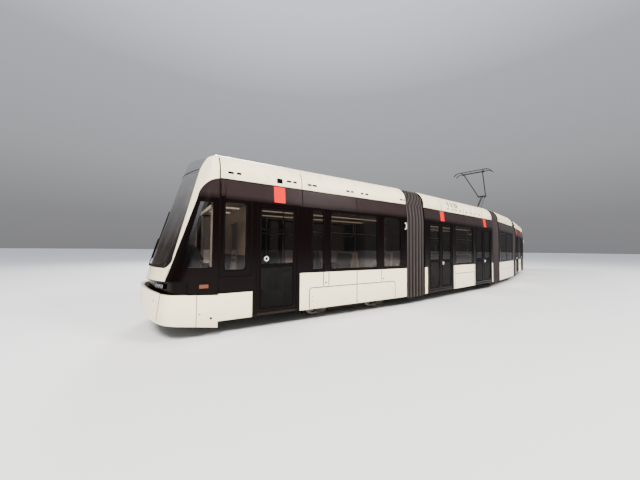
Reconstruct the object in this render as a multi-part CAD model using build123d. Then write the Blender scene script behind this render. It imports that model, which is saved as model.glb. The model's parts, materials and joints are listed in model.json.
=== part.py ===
from build123d import *
import math
import os

# Five-section low-floor tram, in millimetres. +X points to the cab end that leads, +Y to its left,
# +Z up. The origin is at the middle of the centre section, on the track's centre line, at the rail top.

# How the tram stands in its curve: heading of each section against its neighbour nearer the middle
BEND_FRONT_INNER = -7.4
BEND_FRONT_OUTER = -5.4
BEND_REAR_INNER = 4.1
BEND_REAR_OUTER = 4.6

# Cross-section of the body
HALF_WIDTH = 1325
WALL = 60
SKIRT_BOTTOM = 270
SKIRT_TOP = 1070
CAB_SKIRT_TOP = 760
CANT_START = 2520
CANT_TOP = 2900
CANT_LEAN = 50
CEILING = 30
ROOF_SLAB = 60
FAIRING_TOP = 3430
FAIRING_CREST_Y = 950
FAIRING_VIA = (1180, 3265)
FAIRING_WALL = 35
FAIRING_FOOT = 47

# Ends of a section
JOINT_GAP = 760
PORTAL = 60
PASSAGE_HALF = 640
PASSAGE_TOP = 2380

# Openings and panels of a side
WINDOW_TOP = 2460
WINDOW_SILL = 1130
DRIVER_SILL = 1180
WINDOW_CORNER = 70
GLASS = 20
GLASS_INSET = 6
DOOR_TOP = 2540
DOOR_FRAME = 80
DOOR_SILL = 60
LEAF = 40
LEAF_GAP = 8
LEAF_STILE = 75
LEAF_RAIL_Z = 1230
LEAF_RAIL = 45
LEAF_GLASS_INSET = 2
GROOVE = 8
HATCH_TOP = 740
HATCH_DROP = 200
HATCH_MARGIN = 15

# Widths of what stands in a row along a side
SINGLE_DOOR = 1040
DOUBLE_DOOR = 1650
REAR_WINDOW = 670
LONG_WINDOW = 1490
NARROW_WINDOW = 300
DRIVER_WINDOW = 400
BAY_WINDOW = 1380
BROAD_PILLAR = 305
WIDE_PILLAR = 225
MIDDLE_END_PILLAR = 195
PILLAR = 140
MIDDLE_PILLAR = 120
SLIM_PILLAR = 90

# Floor and running gear
FLOOR_TOP = 360
FLOOR_BOTTOM = 260
AISLE_TOP = 400
AISLE_BOTTOM = 372
RAMP = 140
WHEELBASE = 1850
WHEEL_RADIUS = 300
FLANGE_HEIGHT = 26
WHEEL_INNER_Y = 690
TREAD_WIDTH = 95
FLANGE_WIDTH = 30
RIM = 58
HUB_RADIUS = 110
WEB = 30
AXLE_RADIUS = 50
AXLE_END = 275
AXLE_END_PLAY = 6
FIT = 0.5
WELL_CLEAR = 119
WELL_INNER_Y = 580
WELL_TOP = 760
PLATE = 20
CAB_LANDING = 370
MIDDLE_LANDING = 145
PIVOT_PIN = 60
PIVOT_LOW = 290

# Articulation: a section on wheels has the lower tongue with the pin and the round gangway plate
KNUCKLE_PIN = 55
KNUCKLE_HALF = 170
KNUCKLE_LOW = 150
KNUCKLE_MID = 205
KNUCKLE_HIGH = 260
KNUCKLE_ROOT = 220
TURNTABLE_RADIUS = 700
TURNTABLE = 30
TURNTABLE_DROP = 1
TURNTABLE_CLEAR = 8

# Bogie frame
BEAM_GAP = 60
BEAM_WIDTH = 110
BEAM_LOW = 235
BEAM_HIGH = 345
BEAM_TAPER = 130
BEARING = 120
BOLSTER_HALF = 210
BOLSTER_LOW = 180
BOLSTER_HIGH = 352
BOLSTER_FLAT = 520
BOLSTER_RISE = 15
PIVOT_HOLE_CLEAR = 6
MOTOR_RADIUS = 190
MOTOR_LENGTH = 190
BRAKE_LENGTH = 1040
BRAKE_HALF_WIDTH = 55
BRAKE_LOW = 55
BRAKE_SIDE = 70
BRAKE_HEIGHT = 95
BRAKE_SLOPE = 60
BRAKE_ARM_X = 330
BRAKE_ARM = 80
BRAKE_ARM_WIDTH = 110
BRAKE_ARM_LOW = 110

# Inside
SEAT_WIDTH = 880
SEAT_DEPTH = 430
SEAT_BACK = 700
SEAT_BACK_THICK = 60
SEAT_BACK_LEAN = 90
SEAT_SIDE_GAP = 15
CUSHION = 70
PEDESTAL = 380
PEDESTAL_INSET = 60
PODIUM_PEDESTAL = 40
PODIUM_SEAT_OVERHANG = 10
PODIUM_SEAT_INNER = 100
PODIUM_SEAT_END = 110
BAY_SEAT_FRONT = 100
BAY_SEAT_REAR = 100
POLE_RADIUS = 17
POLE_Y = 700
DOOR_POLE_Y = 560
DOOR_POLE_IN = 70
PARTITION = 40
PARTITION_BEHIND = 20
PARTITION_DOOR_HALF = 330
PARTITION_DOOR_TOP = 2200
DRIVER_SEAT_WIDTH = 500
DRIVER_SEAT_BEHIND = 310
DESK_HALF = 1000
DESK_AHEAD = 500
DESK_OUTLINE = [(0, 360), (120, 360), (300, 1080), (240, 1130), (-60, 1060), (-60, 960)]

# Nose, on the cab section; lengths along x are counted back from its foremost point at the base height
NOSE_LENGTH = 1140
NOSE_BASE_Z = 1000
RAKE = 0.288
FRONT_RADIUS = 2300
CORNER_RADIUS = 260
NOSE_WALL = 45
BROW_RADIUS = 230
FOREHEAD_RADIUS = 3820
FOREHEAD_SLOPE = 26.6
FOREHEAD_RISE = 150
CUTTER_CLEAR = 2
APRON_BOTTOM = 1010
APRON_SEAM = 8
APRON_SEAM_BACK = 300
BAND_BACK = 300
BAND_LEAN = 0.3135
BAND_BEND_Z = 2527
BAND_ARC = (0.45, 0.76)
SCREEN_BACK = 305
SCREEN_LEAN = 0.2513
SCREEN_BOTTOM = 1230
SCREEN_CORNER = 210
SCREEN_BEND_Z = 2980
SCREEN_HEAD = (-1000, 3380)
SCREEN_HEAD_VIA = (-865, 3165)
SCREEN_SEAM_Z = 3090
CAB_WINDOW_SILL = 1250
CAB_WINDOW_TOP = 2430
CAB_WINDOW_AHEAD = 115
CAB_WINDOW_LOW_GAP = 137
CAB_WINDOW_HIGH_GAP = 67
MASK_INSET = 60
MASK_BOTTOM = 740
MASK_LIP = 25
MASK_LIP_INSET = 10
SHELF = 15
LOW_SIDE = 500
LAMP_PROUD = 30
LAMP_ROOT = 40
LAMP_WIDTH = 300
LAMP_HEIGHT = 90
LAMP_Y = 900
LAMP_Z = 915
CAMERA_X = (-90, -15)
CAMERA_Z = (2550, 2800)
CAMERA_PROUD = 45
BUMPER_PROUD = 85
BUMPER_LOW = 160
BUMPER_CHIN = 310
BUMPER_CHIN_BACK = 285
BUMPER_TIP = 620
BUMPER_TIP_VIA = (66, 440)
BUMPER_TOP = 885
BUMPER_TOP_BACK = 345
BUMPER_TOP_CORNER = 800
BUMPER_TOP_REAR = 740
TOW_PIN_BACK = 285
TOW_PIN_RADIUS = 20
TONGUE_HALF = 300
TONGUE_BACK = 215
CAB_FLOOR_AHEAD = (340, 540)
CAB_FLOOR_HALF = 1150

# Bellows
BELLOWS_WALL = 70
BELLOWS_INSET = 20
BELLOWS_LOW = 220

# Plate that closes the roof channel at a section's end, where the bellows is clamped
ROOF_END = 40

# Roof units: distance of both ends from the section's ends, half width, height of the top
UNIT_SHOULDER = 60
FAN_RADIUS = 250
FAN_DEPTH = 40
FAN_HUB = 70
FAN_FROM_END = 400
CAB_UNIT = (520, 2160, 820, 3380)
HANGING_UNIT = (1120, 1170, 760, 3330)
MIDDLE_UNIT = (245, 245, 620, 3300)

# Pantograph, on the centre section, in the plane of X and Z with the knee behind
PAN_BASE = (200, 3540)
PAN_KNEE = (-1150, 4615)
PAN_HEAD = (500, 5570)
PAN_FRAME_Z = 3430
PAN_FRAME_BAR = 40
PAN_FRAME_SIDE = 60
PAN_FRAME_LENGTH = 1000
PAN_FRAME_WIDTH = 780
PAN_CHEEK = (250, 280)
PAN_CHEEK_HALF = 45
PAN_PIVOT = 25
PAN_PIVOT_HALF = 300
INSULATOR_X = 420
INSULATOR_Y = 330
INSULATOR_RADIUS = 40
INSULATOR_SHED = 62
INSULATOR_RIB = 14
PAN_LOWER_TUBE = 45
PAN_KNEE_BARREL = 55
PAN_KNEE_HALF = 60
PAN_KNEE_PIN = 20
PAN_UPPER_BARREL = 40
PAN_UPPER_TUBE = 24
PAN_ARM_HALF = 200
PAN_HEAD_SPREAD = 430
PAN_HEAD_BAR = 18
PAN_HEAD_BAR_END = 70
PAN_ROD_BASE = (-75, 3510)
PAN_ROD_Y = 90
PAN_ROD_TUBE = 12
PAN_ROD_PIN = 10
PAN_ROD_CLEAR = 20
PAN_BRACKET_HALF = 30
PAN_BRACKET = (22, 40)
PAN_EYE = 24
PAN_EYE_HALF = 16
PAN_OPEN_EYE = 36
PAN_OPEN_HALF = 12
PAN_OPEN_BORE = 24
PAN_TAIL = 125
PAN_TAIL_TUBE = 16
PAN_TAIL_GAP = 32
STRIP_HALF = 560
STRIP_X = 190
STRIP_WIDTH = 50
STRIP_TOP = 90
STRIP_THICK = 30
HORN_TIP_Y = 875
HORN_DROP = 60
HORN_THICK = 28
HORN_BULGE = 190
HORN_SAG = 40
HORN_INNER = (20, 62)
HORN_TIP_CUT = 10
YOKE_IN = 32
YOKE = 28
YOKE_LEG_HALF = 35

# Worked out from the sizes above
INNER_Y = HALF_WIDTH - WALL
END = JOINT_GAP / 2
WELL_LENGTH = WHEELBASE + 2 * (WHEEL_RADIUS + FLANGE_HEIGHT + WELL_CLEAR)
BOGIE_FROM_JOINT = END + PORTAL + CAB_LANDING + PLATE + WELL_LENGTH / 2
CENTRE_LENGTH = JOINT_GAP + 2 * (PORTAL + MIDDLE_LANDING + PLATE) + WELL_LENGTH
MIDDLE_WINDOW = (CENTRE_LENGTH - JOINT_GAP - 2 * MIDDLE_END_PILLAR - MIDDLE_PILLAR) / 2

# What stands along each side, from the inner end frame outwards: kind, width, leaves or sill
CAB_ROW = [
    ("pillar", WIDE_PILLAR, 0), ("window", REAR_WINDOW, WINDOW_SILL), ("pillar", WIDE_PILLAR, 0),
    ("window", LONG_WINDOW, WINDOW_SILL), ("pillar", MIDDLE_END_PILLAR, 0),
    ("window", NARROW_WINDOW, WINDOW_SILL), ("pillar", BROAD_PILLAR, 0), ("door", SINGLE_DOOR, 1),
    ("pillar", PILLAR, 0), ("window", DRIVER_WINDOW, DRIVER_SILL), ("pillar", SLIM_PILLAR, 0),
]
HANGING_ROW = [
    ("pillar", SLIM_PILLAR, 0), ("door", DOUBLE_DOOR, 2), ("pillar", PILLAR, 0),
    ("window", BAY_WINDOW, WINDOW_SILL),
    ("pillar", PILLAR, 0), ("door", DOUBLE_DOOR, 2), ("pillar", PILLAR, 0),
]
MIDDLE_ROW = [
    ("pillar", MIDDLE_END_PILLAR, 0), ("window", MIDDLE_WINDOW, WINDOW_SILL), ("pillar", MIDDLE_PILLAR, 0),
    ("window", MIDDLE_WINDOW, WINDOW_SILL), ("pillar", MIDDLE_END_PILLAR, 0),
]
SEAM = END + sum(width for kind, width, detail in CAB_ROW)
SUSPENDED_LENGTH = JOINT_GAP + sum(width for kind, width, detail in HANGING_ROW)
NOSE_X = SEAM + NOSE_LENGTH
BUMPER_X = NOSE_X + BUMPER_PROUD

# Seats on the podiums over a bogie: distance of the back from the bogie's middle, and the way it faces
PODIUM_SEATS = [
    (PODIUM_SEAT_END - WELL_LENGTH / 2, 1), (-PODIUM_SEAT_INNER, -1),
    (PODIUM_SEAT_INNER, 1), (WELL_LENGTH / 2 - PODIUM_SEAT_END, -1),
]

# How far cutting shapes stick out of what they cut, and how far the large ones reach
CUT = 10
FAR = 1000

os.makedirs("parts", exist_ok=True)


def face_on(plane, points):
    """Closed outline of straight runs and three-point arcs: an arc is written as (end, via)."""
    edges = []
    here = points[0]
    for step in list(points[1:]) + [points[0]]:
        if isinstance(step[0], tuple):
            end, via = step
            edges.append(ThreePointArc(here, via, end))
            here = end
        elif step != here:
            edges.append(Line(here, step))
            here = step
    return plane * make_face(edges)


def along_x(points, x0, x1):
    """Outline in (y, z) carried from x0 to x1."""
    return Pos(x0, 0, 0) * extrude(face_on(Plane.YZ, points), x1 - x0)


def along_y(points, y0, y1):
    """Outline in (x, z) carried from y0 to y1."""
    return Pos(0, y1, 0) * extrude(face_on(Plane.XZ, points), y1 - y0)


def across(points):
    """Outline in (x, z) carried across the whole tram and beyond its sides."""
    return along_y(points, -HALF_WIDTH - FAR, HALF_WIDTH + FAR)


def along_z(points, z0, z1):
    """Outline in (x, y) carried from z0 to z1."""
    return Pos(0, 0, z0) * extrude(face_on(Plane.XY, points), z1 - z0)


def block(x0, x1, y0, y1, z0, z1):
    return Pos((x0 + x1) / 2, (y0 + y1) / 2, (z0 + z1) / 2) * Box(x1 - x0, y1 - y0, z1 - z0)


def disc(x, z0, z1, radius):
    """Upright round plate or pin on the centre line."""
    return Pos(x, 0, (z0 + z1) / 2) * Cylinder(radius, z1 - z0)


def bar_y(x, z, y0, y1, radius):
    """Round bar across the tram."""
    return Pos(x, (y0 + y1) / 2, z) * Rot(90, 0, 0) * Cylinder(radius, y1 - y0)


def window_tool(x0, x1, z0, z1, y0, y1):
    """Rounded rectangle in the side plane, carried from y0 to y1."""
    middle = Pos((x0 + x1) / 2, (z0 + z1) / 2)
    sketch = Plane.XZ * middle * RectangleRounded(x1 - x0, z1 - z0, WINDOW_CORNER)
    return Pos(0, y1, 0) * extrude(sketch, y1 - y0)


def both_sides(shapes):
    """The shapes of the left side, and the same on the right."""
    return list(shapes) + [mirror(s, Plane.XZ) for s in shapes]


def lay_out(row, start):
    """Doors and windows of a row that begins at start, each as (x0, x1, leaves or sill)."""
    places = {"pillar": [], "window": [], "door": []}
    x = start
    for kind, width, detail in row:
        places[kind].append((x, x + width, detail))
        x += width
    return places["window"], places["door"]


# Upright side wall that leans inwards over the windows
def wall_outline(z0):
    return [
        (INNER_Y, z0), (HALF_WIDTH, z0), (HALF_WIDTH, CANT_START), (HALF_WIDTH - CANT_LEAN, CANT_TOP),
        (INNER_Y - CANT_LEAN, CANT_TOP), (INNER_Y, CANT_START),
    ]


def fairing_via(inset):
    """Middle point of the roof fairing's arc, moved in by inset."""
    return (FAIRING_VIA[0] - 0.8 * inset, FAIRING_VIA[1] - 0.6 * inset)


def body_cutter(inset, bottom):
    """Outline that gives the cab its shoulders and crest, clear of its upright sides."""
    side = HALF_WIDTH - inset
    lean = side - CANT_LEAN
    crest = FAIRING_CREST_Y - inset
    top = FAIRING_TOP - inset
    mx, mz = fairing_via(inset)
    out_z = 2 * CANT_START - CANT_TOP
    out = side + CANT_LEAN
    return [
        (-out, bottom), (out, bottom), (out, out_z), (lean, CANT_TOP),
        ((crest, top), (mx, mz)), (-crest, top), ((-lean, CANT_TOP), (-mx, mz)), (-out, out_z),
    ]


def body_outline(inset, bottom):
    """Outline of the body's side, lean, fairing and a flat top, moved in by inset."""
    side = HALF_WIDTH - inset
    lean = side - CANT_LEAN
    crest = FAIRING_CREST_Y - inset
    mx, mz = fairing_via(inset)
    top = FAIRING_TOP - inset
    return [
        (-side, bottom), (side, bottom), (side, CANT_START), (lean, CANT_TOP), ((crest, top), (mx, mz)),
        (-crest, top), ((-lean, CANT_TOP), (-mx, mz)), (-side, CANT_START),
    ]


def roof_shell(x0, x1, ends):
    """Roof between x0 and x1, its channel closed by a plate at each of the ends named by x."""
    roof = along_x(roof_outline(), x0, x1)
    for x in ends:
        low, high = (x, x + ROOF_END) if x == x0 else (x - ROOF_END, x)
        plate = along_x(body_outline(0, SKIRT_TOP), low, high)
        roof += plate & block(low, high, -FAR * 2, FAR * 2, CANT_TOP, FAR * 4)
    return roof


def roof_outline():
    """Roof slab with a curved fairing up each side, open on top."""
    lean = HALF_WIDTH - CANT_LEAN
    slab = CANT_TOP + ROOF_SLAB
    mx, mz = fairing_via(0)
    nx, nz = fairing_via(FAIRING_WALL)
    crest = FAIRING_CREST_Y
    inner_crest = (crest - FAIRING_WALL, FAIRING_TOP - FAIRING_WALL / 2)
    foot = lean - FAIRING_FOOT
    return [
        (-lean, CANT_TOP), (lean, CANT_TOP), ((crest, FAIRING_TOP), (mx, mz)), inner_crest,
        ((foot, slab), (nx, nz)), (-foot, slab), ((-inner_crest[0], inner_crest[1]), (-nx, nz)),
        (-crest, FAIRING_TOP), ((-lean, CANT_TOP), (-mx, mz)),
    ]


def roof_unit(a, b, unit):
    """Casing on the roof between a and b, with sloping shoulders and a fan near each end."""
    start, stop, half, top = unit
    x0, x1 = a + start, b - stop
    foot = CANT_TOP + ROOF_SLAB
    shoulder = (half - UNIT_SHOULDER, top - UNIT_SHOULDER)
    casing = along_x([
        (-half, foot), (half, foot), (half, shoulder[1]), (shoulder[0], top),
        (-shoulder[0], top), (-half, shoulder[1]),
    ], x0, x1)
    for x in (x0 + FAN_FROM_END, x1 - FAN_FROM_END):
        casing -= disc(x, top - FAN_DEPTH, top + CUT, FAN_RADIUS) - disc(x, top - FAN_DEPTH, top, FAN_HUB)
    return casing


# Panels of one side
def upper_walls(x0, x1, windows, doors, low_part=None):
    wall = along_x(wall_outline(SKIRT_TOP), x0, x1)
    if low_part:
        wall += block(low_part[0], low_part[1], INNER_Y, HALF_WIDTH, CAB_SKIRT_TOP, SKIRT_TOP)
    for a, b, sill in windows:
        wall -= window_tool(a, b, sill, WINDOW_TOP, INNER_Y - CUT, HALF_WIDTH + CUT)
    for a, b, leaves in doors:
        wall -= block(a, b, INNER_Y - CUT, HALF_WIDTH + CUT, CAB_SKIRT_TOP - CUT, DOOR_TOP)
    return wall


def skirt_panel(x0, x1, top=SKIRT_TOP, grooves=(), hatch=None):
    """Lower panel, as thick as the wall, with the joints of its flaps cut in as grooves."""
    outer_y = HALF_WIDTH + CUT
    groove_y = HALF_WIDTH - GROOVE
    panel = block(x0, x1, INNER_Y, HALF_WIDTH, SKIRT_BOTTOM, top)
    for gx in grooves:
        panel -= block(gx - GROOVE / 2, gx + GROOVE / 2, groove_y, outer_y, SKIRT_BOTTOM - CUT, top + CUT)
    if hatch:
        a, b = hatch
        low = SKIRT_BOTTOM - HATCH_DROP
        outer = window_tool(a, b, low, HATCH_TOP, groove_y, outer_y)
        inner = window_tool(a + GROOVE, b - GROOVE, low, HATCH_TOP - GROOVE, groove_y - CUT, outer_y + CUT)
        panel -= outer - inner
    return panel


def door_pieces(x0, x1, leaves):
    """Portal round a doorway, its closed leaves, and their panes."""
    portal = block(x0, x1, INNER_Y, HALF_WIDTH, SKIRT_BOTTOM, DOOR_TOP)
    a, b = x0 + DOOR_FRAME, x1 - DOOR_FRAME
    low, high = SKIRT_BOTTOM + DOOR_SILL, DOOR_TOP - DOOR_FRAME
    portal -= block(a, b, INNER_Y - CUT, HALF_WIDTH + CUT, low, high)
    frames, panes = [portal], []
    width = (b - a) / leaves
    y0 = HALF_WIDTH - (WALL + LEAF) / 2
    y1 = y0 + LEAF
    pane_y = y1 - LEAF_GLASS_INSET
    for n in range(leaves):
        la, lb = a + n * width + n * LEAF_GAP / 2, a + (n + 1) * width - (leaves - 1 - n) * LEAF_GAP / 2
        pa, pb = la + LEAF_STILE, lb - LEAF_STILE
        leaf = block(la, lb, y0, y1, low, high)
        for za, zb in ((low + LEAF_STILE, LEAF_RAIL_Z), (LEAF_RAIL_Z + LEAF_RAIL, high - LEAF_STILE)):
            leaf -= block(pa, pb, y0 - CUT, y1 + CUT, za, zb)
            panes.append(block(pa, pb, pane_y - GLASS, pane_y, za, zb))
        frames.append(leaf)
    return frames, panes


def side_doors(doors):
    """Portals with their leaves, and the panes, of all doors of one side."""
    frames, panes = [], []
    for door in doors:
        door_frames, door_panes = door_pieces(*door)
        frames += door_frames
        panes += door_panes
    return frames, panes


def window_panes(windows):
    y1 = HALF_WIDTH - GLASS_INSET
    return [window_tool(a, b, sill, WINDOW_TOP, y1 - GLASS, y1) for a, b, sill in windows]


def end_portal(x0, x1):
    """Frame that the bellows is fixed to: two jambs and a header round the gangway."""
    side, lean, gangway = INNER_Y, INNER_Y - CANT_LEAN, PASSAGE_HALF
    return along_x([
        (gangway, FLOOR_TOP), (side, FLOOR_TOP), (side, CANT_START), (lean, CANT_TOP),
        (-lean, CANT_TOP), (-side, CANT_START), (-side, FLOOR_TOP), (-gangway, FLOOR_TOP),
        (-gangway, PASSAGE_TOP), (gangway, PASSAGE_TOP),
    ], x0, x1)


def ceiling(x0, x1):
    return block(x0, x1, -INNER_Y, INNER_Y, CANT_START - CEILING, CANT_START)


# Articulation
def lower_knuckle(x_joint, x_floor):
    """Tongue with its pin, hung under the end of the floor at x_floor, and the round plate over it."""
    side = 1 if x_joint > x_floor else -1
    root = x_floor - side * KNUCKLE_ROOT
    low, mid, half = KNUCKLE_LOW, KNUCKLE_MID, KNUCKLE_HALF
    plate_top = FLOOR_TOP - TURNTABLE_DROP
    tongue = block(min(root, x_joint), max(root, x_joint), -half, half, low, mid)
    tongue += block(min(root, x_floor), max(root, x_floor), -half, half, low, FLOOR_BOTTOM + 1)
    tongue += disc(x_joint, low, mid, half) + disc(x_joint, low, KNUCKLE_HIGH, KNUCKLE_PIN)
    return tongue + disc(x_joint, plate_top - TURNTABLE, plate_top, TURNTABLE_RADIUS)


def upper_knuckle(x_joint, x_floor):
    """Tongue with its eye, level with the end of the floor at x_floor."""
    side = 1 if x_joint > x_floor else -1
    root = x_floor - side * KNUCKLE_ROOT
    low, high, half = KNUCKLE_MID + FIT, KNUCKLE_HIGH, KNUCKLE_HALF
    tongue = block(min(root, x_joint), max(root, x_joint), -half, half, low, high)
    tongue += block(min(root, x_floor), max(root, x_floor), -half, half, low, FLOOR_BOTTOM + 1)
    tongue += disc(x_joint, low, high, half)
    return tongue - disc(x_joint, low - CUT, high + CUT, KNUCKLE_PIN + FIT)


def plate_recess(x_joint):
    """Room in a hanging section's floor for its neighbour's round plate."""
    top = FLOOR_TOP - TURNTABLE_DROP
    low = top - TURNTABLE - TURNTABLE_CLEAR
    return disc(x_joint, low, top + TURNTABLE_CLEAR, TURNTABLE_RADIUS + TURNTABLE_CLEAR)


# Floor of a section that stands on a bogie, and the podiums over its wheels
def podiums(x_mid):
    x0, x1 = x_mid - WELL_LENGTH / 2, x_mid + WELL_LENGTH / 2
    box = block(x0 - PLATE, x1 + PLATE, WELL_INNER_Y - PLATE, INNER_Y, AISLE_TOP, WELL_TOP + PLATE)
    box -= block(x0, x1, WELL_INNER_Y, INNER_Y + CUT, AISLE_TOP - CUT, WELL_TOP)
    return both_sides([box])


def bogie_floor(x0, x1, x_mid):
    a, b = x_mid - WELL_LENGTH / 2 - PLATE, x_mid + WELL_LENGTH / 2 + PLATE
    floor = along_y([
        (x0, FLOOR_BOTTOM), (a, FLOOR_BOTTOM), (a, AISLE_BOTTOM), (b, AISLE_BOTTOM), (b, FLOOR_BOTTOM),
        (x1, FLOOR_BOTTOM), (x1, FLOOR_TOP), (b + RAMP, FLOOR_TOP), (b, AISLE_TOP), (a, AISLE_TOP),
        (a - RAMP, FLOOR_TOP), (x0, FLOOR_TOP),
    ], -INNER_Y, INNER_Y)
    for y0, y1 in ((WELL_INNER_Y, INNER_Y + CUT), (-INNER_Y - CUT, -WELL_INNER_Y)):
        floor -= block(a + PLATE, b - PLATE, y0, y1, FLOOR_BOTTOM - CUT, AISLE_TOP + CUT)
    return floor + disc(x_mid, PIVOT_LOW, AISLE_BOTTOM + 1, PIVOT_PIN)


# Bogie
def bogie():
    """Side beams on the axle boxes with motors outside, the bolster between, and the rail brakes."""
    half = WHEELBASE / 2
    z = WHEEL_RADIUS
    end = half + BEARING
    box = half - BEARING
    bend = box - BEAM_TAPER
    wheel_out = WHEEL_INNER_Y + FLANGE_WIDTH + TREAD_WIDTH
    beam_in = wheel_out + BEAM_GAP
    beam_mid = beam_in + BEAM_WIDTH / 2
    beam = along_y([
        (-end, z - BEARING), (-box, z - BEARING), (-bend, BEAM_LOW), (bend, BEAM_LOW), (box, z - BEARING),
        (end, z - BEARING), (end, z + BEARING), (box, z + BEARING), (bend, BEAM_HIGH), (-bend, BEAM_HIGH),
        (-box, z + BEARING), (-end, z + BEARING),
    ], beam_in, beam_in + BEAM_WIDTH)
    for x in (-half, half):
        beam += bar_y(x, z, beam_mid, beam_mid + MOTOR_LENGTH, MOTOR_RADIUS)
    for x in (-half, half):
        beam -= bar_y(x, z, beam_in - CUT, wheel_out + AXLE_END + AXLE_END_PLAY, AXLE_RADIUS + FIT)
    frame = beam + mirror(beam, Plane.XZ)
    reach = beam_in + 1
    low, high = BEAM_LOW + BOLSTER_RISE / 3, BOLSTER_HIGH - BOLSTER_RISE
    frame += along_x([
        (-reach, low), (-BOLSTER_FLAT, BOLSTER_LOW), (BOLSTER_FLAT, BOLSTER_LOW), (reach, low),
        (reach, high), (BOLSTER_FLAT, BOLSTER_HIGH), (-BOLSTER_FLAT, BOLSTER_HIGH), (-reach, high),
    ], -BOLSTER_HALF, BOLSTER_HALF)
    frame -= disc(0, PIVOT_LOW - PIVOT_HOLE_CLEAR, BOLSTER_HIGH + CUT, PIVOT_PIN + FIT)
    brake_y = WHEEL_INNER_Y + (FLANGE_WIDTH + TREAD_WIDTH) / 2
    long_half = BRAKE_LENGTH / 2
    slope_x = long_half - BRAKE_SLOPE
    side_z, top_z = BRAKE_LOW + BRAKE_SIDE, BRAKE_LOW + BRAKE_HEIGHT
    brake = along_y([
        (-long_half, BRAKE_LOW), (long_half, BRAKE_LOW), (long_half, side_z),
        (slope_x, top_z), (-slope_x, top_z), (-long_half, side_z),
    ], brake_y - BRAKE_HALF_WIDTH, brake_y + BRAKE_HALF_WIDTH)
    for x in (-BRAKE_ARM_X, BRAKE_ARM_X):
        brake += block(x - BRAKE_ARM / 2, x + BRAKE_ARM / 2, beam_in + 1 - BRAKE_ARM_WIDTH, beam_in + 1,
                       BRAKE_ARM_LOW, BEAM_LOW + PLATE)
    return frame + brake + mirror(brake, Plane.XZ)


def wheelset():
    """Two flanged wheels and their axle, turning about Y at the origin: (radius, y) of one half."""
    r = WHEEL_RADIUS
    y0 = WHEEL_INNER_Y
    y1 = y0 + FLANGE_WIDTH
    y2 = y1 + TREAD_WIDTH
    rim = r - RIM
    web = y1 + WEB
    profile = [
        (0, 0), (AXLE_RADIUS, 0), (AXLE_RADIUS, y0), (r + FLANGE_HEIGHT, y0),
        (r + FLANGE_HEIGHT, y0 + FLANGE_WIDTH / 2), (r, y1), (r, y2), (rim, y2), (rim, web),
        (HUB_RADIUS, web), (HUB_RADIUS, y2), (AXLE_RADIUS, y2), (AXLE_RADIUS, y2 + AXLE_END),
        (0, y2 + AXLE_END),
    ]
    half = revolve(face_on(Plane.XY, profile), Axis.Y)
    return half + mirror(half, Plane.XZ)


# Seats: a pedestal, a cushion and a back
def seat(x, y, z, facing, pedestal, width):
    """A seat with its back at x, facing +1 forwards or -1 backwards; z is what it stands on."""
    top = z + pedestal
    mid = x + facing * SEAT_DEPTH / 2
    low_width = width - 2 * PEDESTAL_INSET
    solid = Pos(mid, y, z + pedestal / 2) * Box(SEAT_DEPTH - 2 * PEDESTAL_INSET, low_width, pedestal)
    solid += Pos(mid, y, top + CUSHION / 2) * Box(SEAT_DEPTH, width, CUSHION)
    lean = facing * SEAT_BACK_LEAN
    thick = facing * SEAT_BACK_THICK
    back = [(x, top), (x + thick, top), (x + thick - lean, top + SEAT_BACK), (x - lean, top + SEAT_BACK)]
    return solid + along_y(back, y - width / 2, y + width / 2)


def podium_seats(x_mid):
    width = INNER_Y - SEAT_SIDE_GAP - WELL_INNER_Y + PODIUM_SEAT_OVERHANG
    y = INNER_Y - SEAT_SIDE_GAP - width / 2
    z = WELL_TOP + PLATE
    return both_sides([seat(x_mid + x, y, z, facing, PODIUM_PEDESTAL, width) for x, facing in PODIUM_SEATS])


def pole(x, y):
    z0, z1 = FLOOR_TOP, CANT_START - CEILING
    return Pos(x, y, (z0 + z1) / 2) * Cylinder(POLE_RADIUS, z1 - z0)


# Nose: a plan outline carried up the rake of the screen, cut by the body's section, brow and forehead
LEAN = Vector(-RAKE, 0, 1).normalized()
LEAN_PLANE = Plane(origin=(NOSE_X, 0, NOSE_BASE_Z), x_dir=(1, 0, RAKE), z_dir=LEAN)


def nose_plan(inset, front, back):
    """Plan of the nose: straight sides, rounded corners and a wide front arc."""
    side = HALF_WIDTH - inset
    radius = FRONT_RADIUS - inset
    arc_x = front - inset - radius + math.sqrt(radius ** 2 - side ** 2)
    sketch = face_on(Plane.XY, [
        (back, -side), (arc_x, -side), ((arc_x, side), (front - inset, 0)), (back, side),
    ])
    corners = [v for v in sketch.vertices() if v.X > back + CUT]
    return fillet(corners, CORNER_RADIUS - inset)


def nose_ring(outer, inner, front, back, z0, z1):
    """Upright wall that follows the nose's plan, between two insets."""
    core = extrude(nose_plan(inner, front, back - CUT), z1 - z0)
    return Pos(0, 0, z0) * (extrude(nose_plan(outer, front, back), z1 - z0) - core)


def brow(inset, back, z0):
    """Side outline that rounds the top of the screen into the roof."""
    far = NOSE_X + FAR
    top = FAIRING_TOP - inset + CUTTER_CLEAR
    corner_x = NOSE_X - inset / LEAN.Z + CUTTER_CLEAR - RAKE * (top - NOSE_BASE_Z)
    radius = BROW_RADIUS - inset
    half_turn = math.radians(90 - math.degrees(math.atan(RAKE))) / 2
    tangent = radius * math.tan(half_turn)
    mid_angle = math.pi / 2 - half_turn
    start = (corner_x + RAKE * tangent * LEAN.Z, top - tangent * LEAN.Z)
    via = (corner_x - tangent + radius * math.cos(mid_angle), top - radius + radius * math.sin(mid_angle))
    return across([
        (back - CUT, z0), (far, z0), (far, start[1] - CUT), start,
        ((corner_x - tangent, top), via), (back - CUT, top),
    ])


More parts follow.
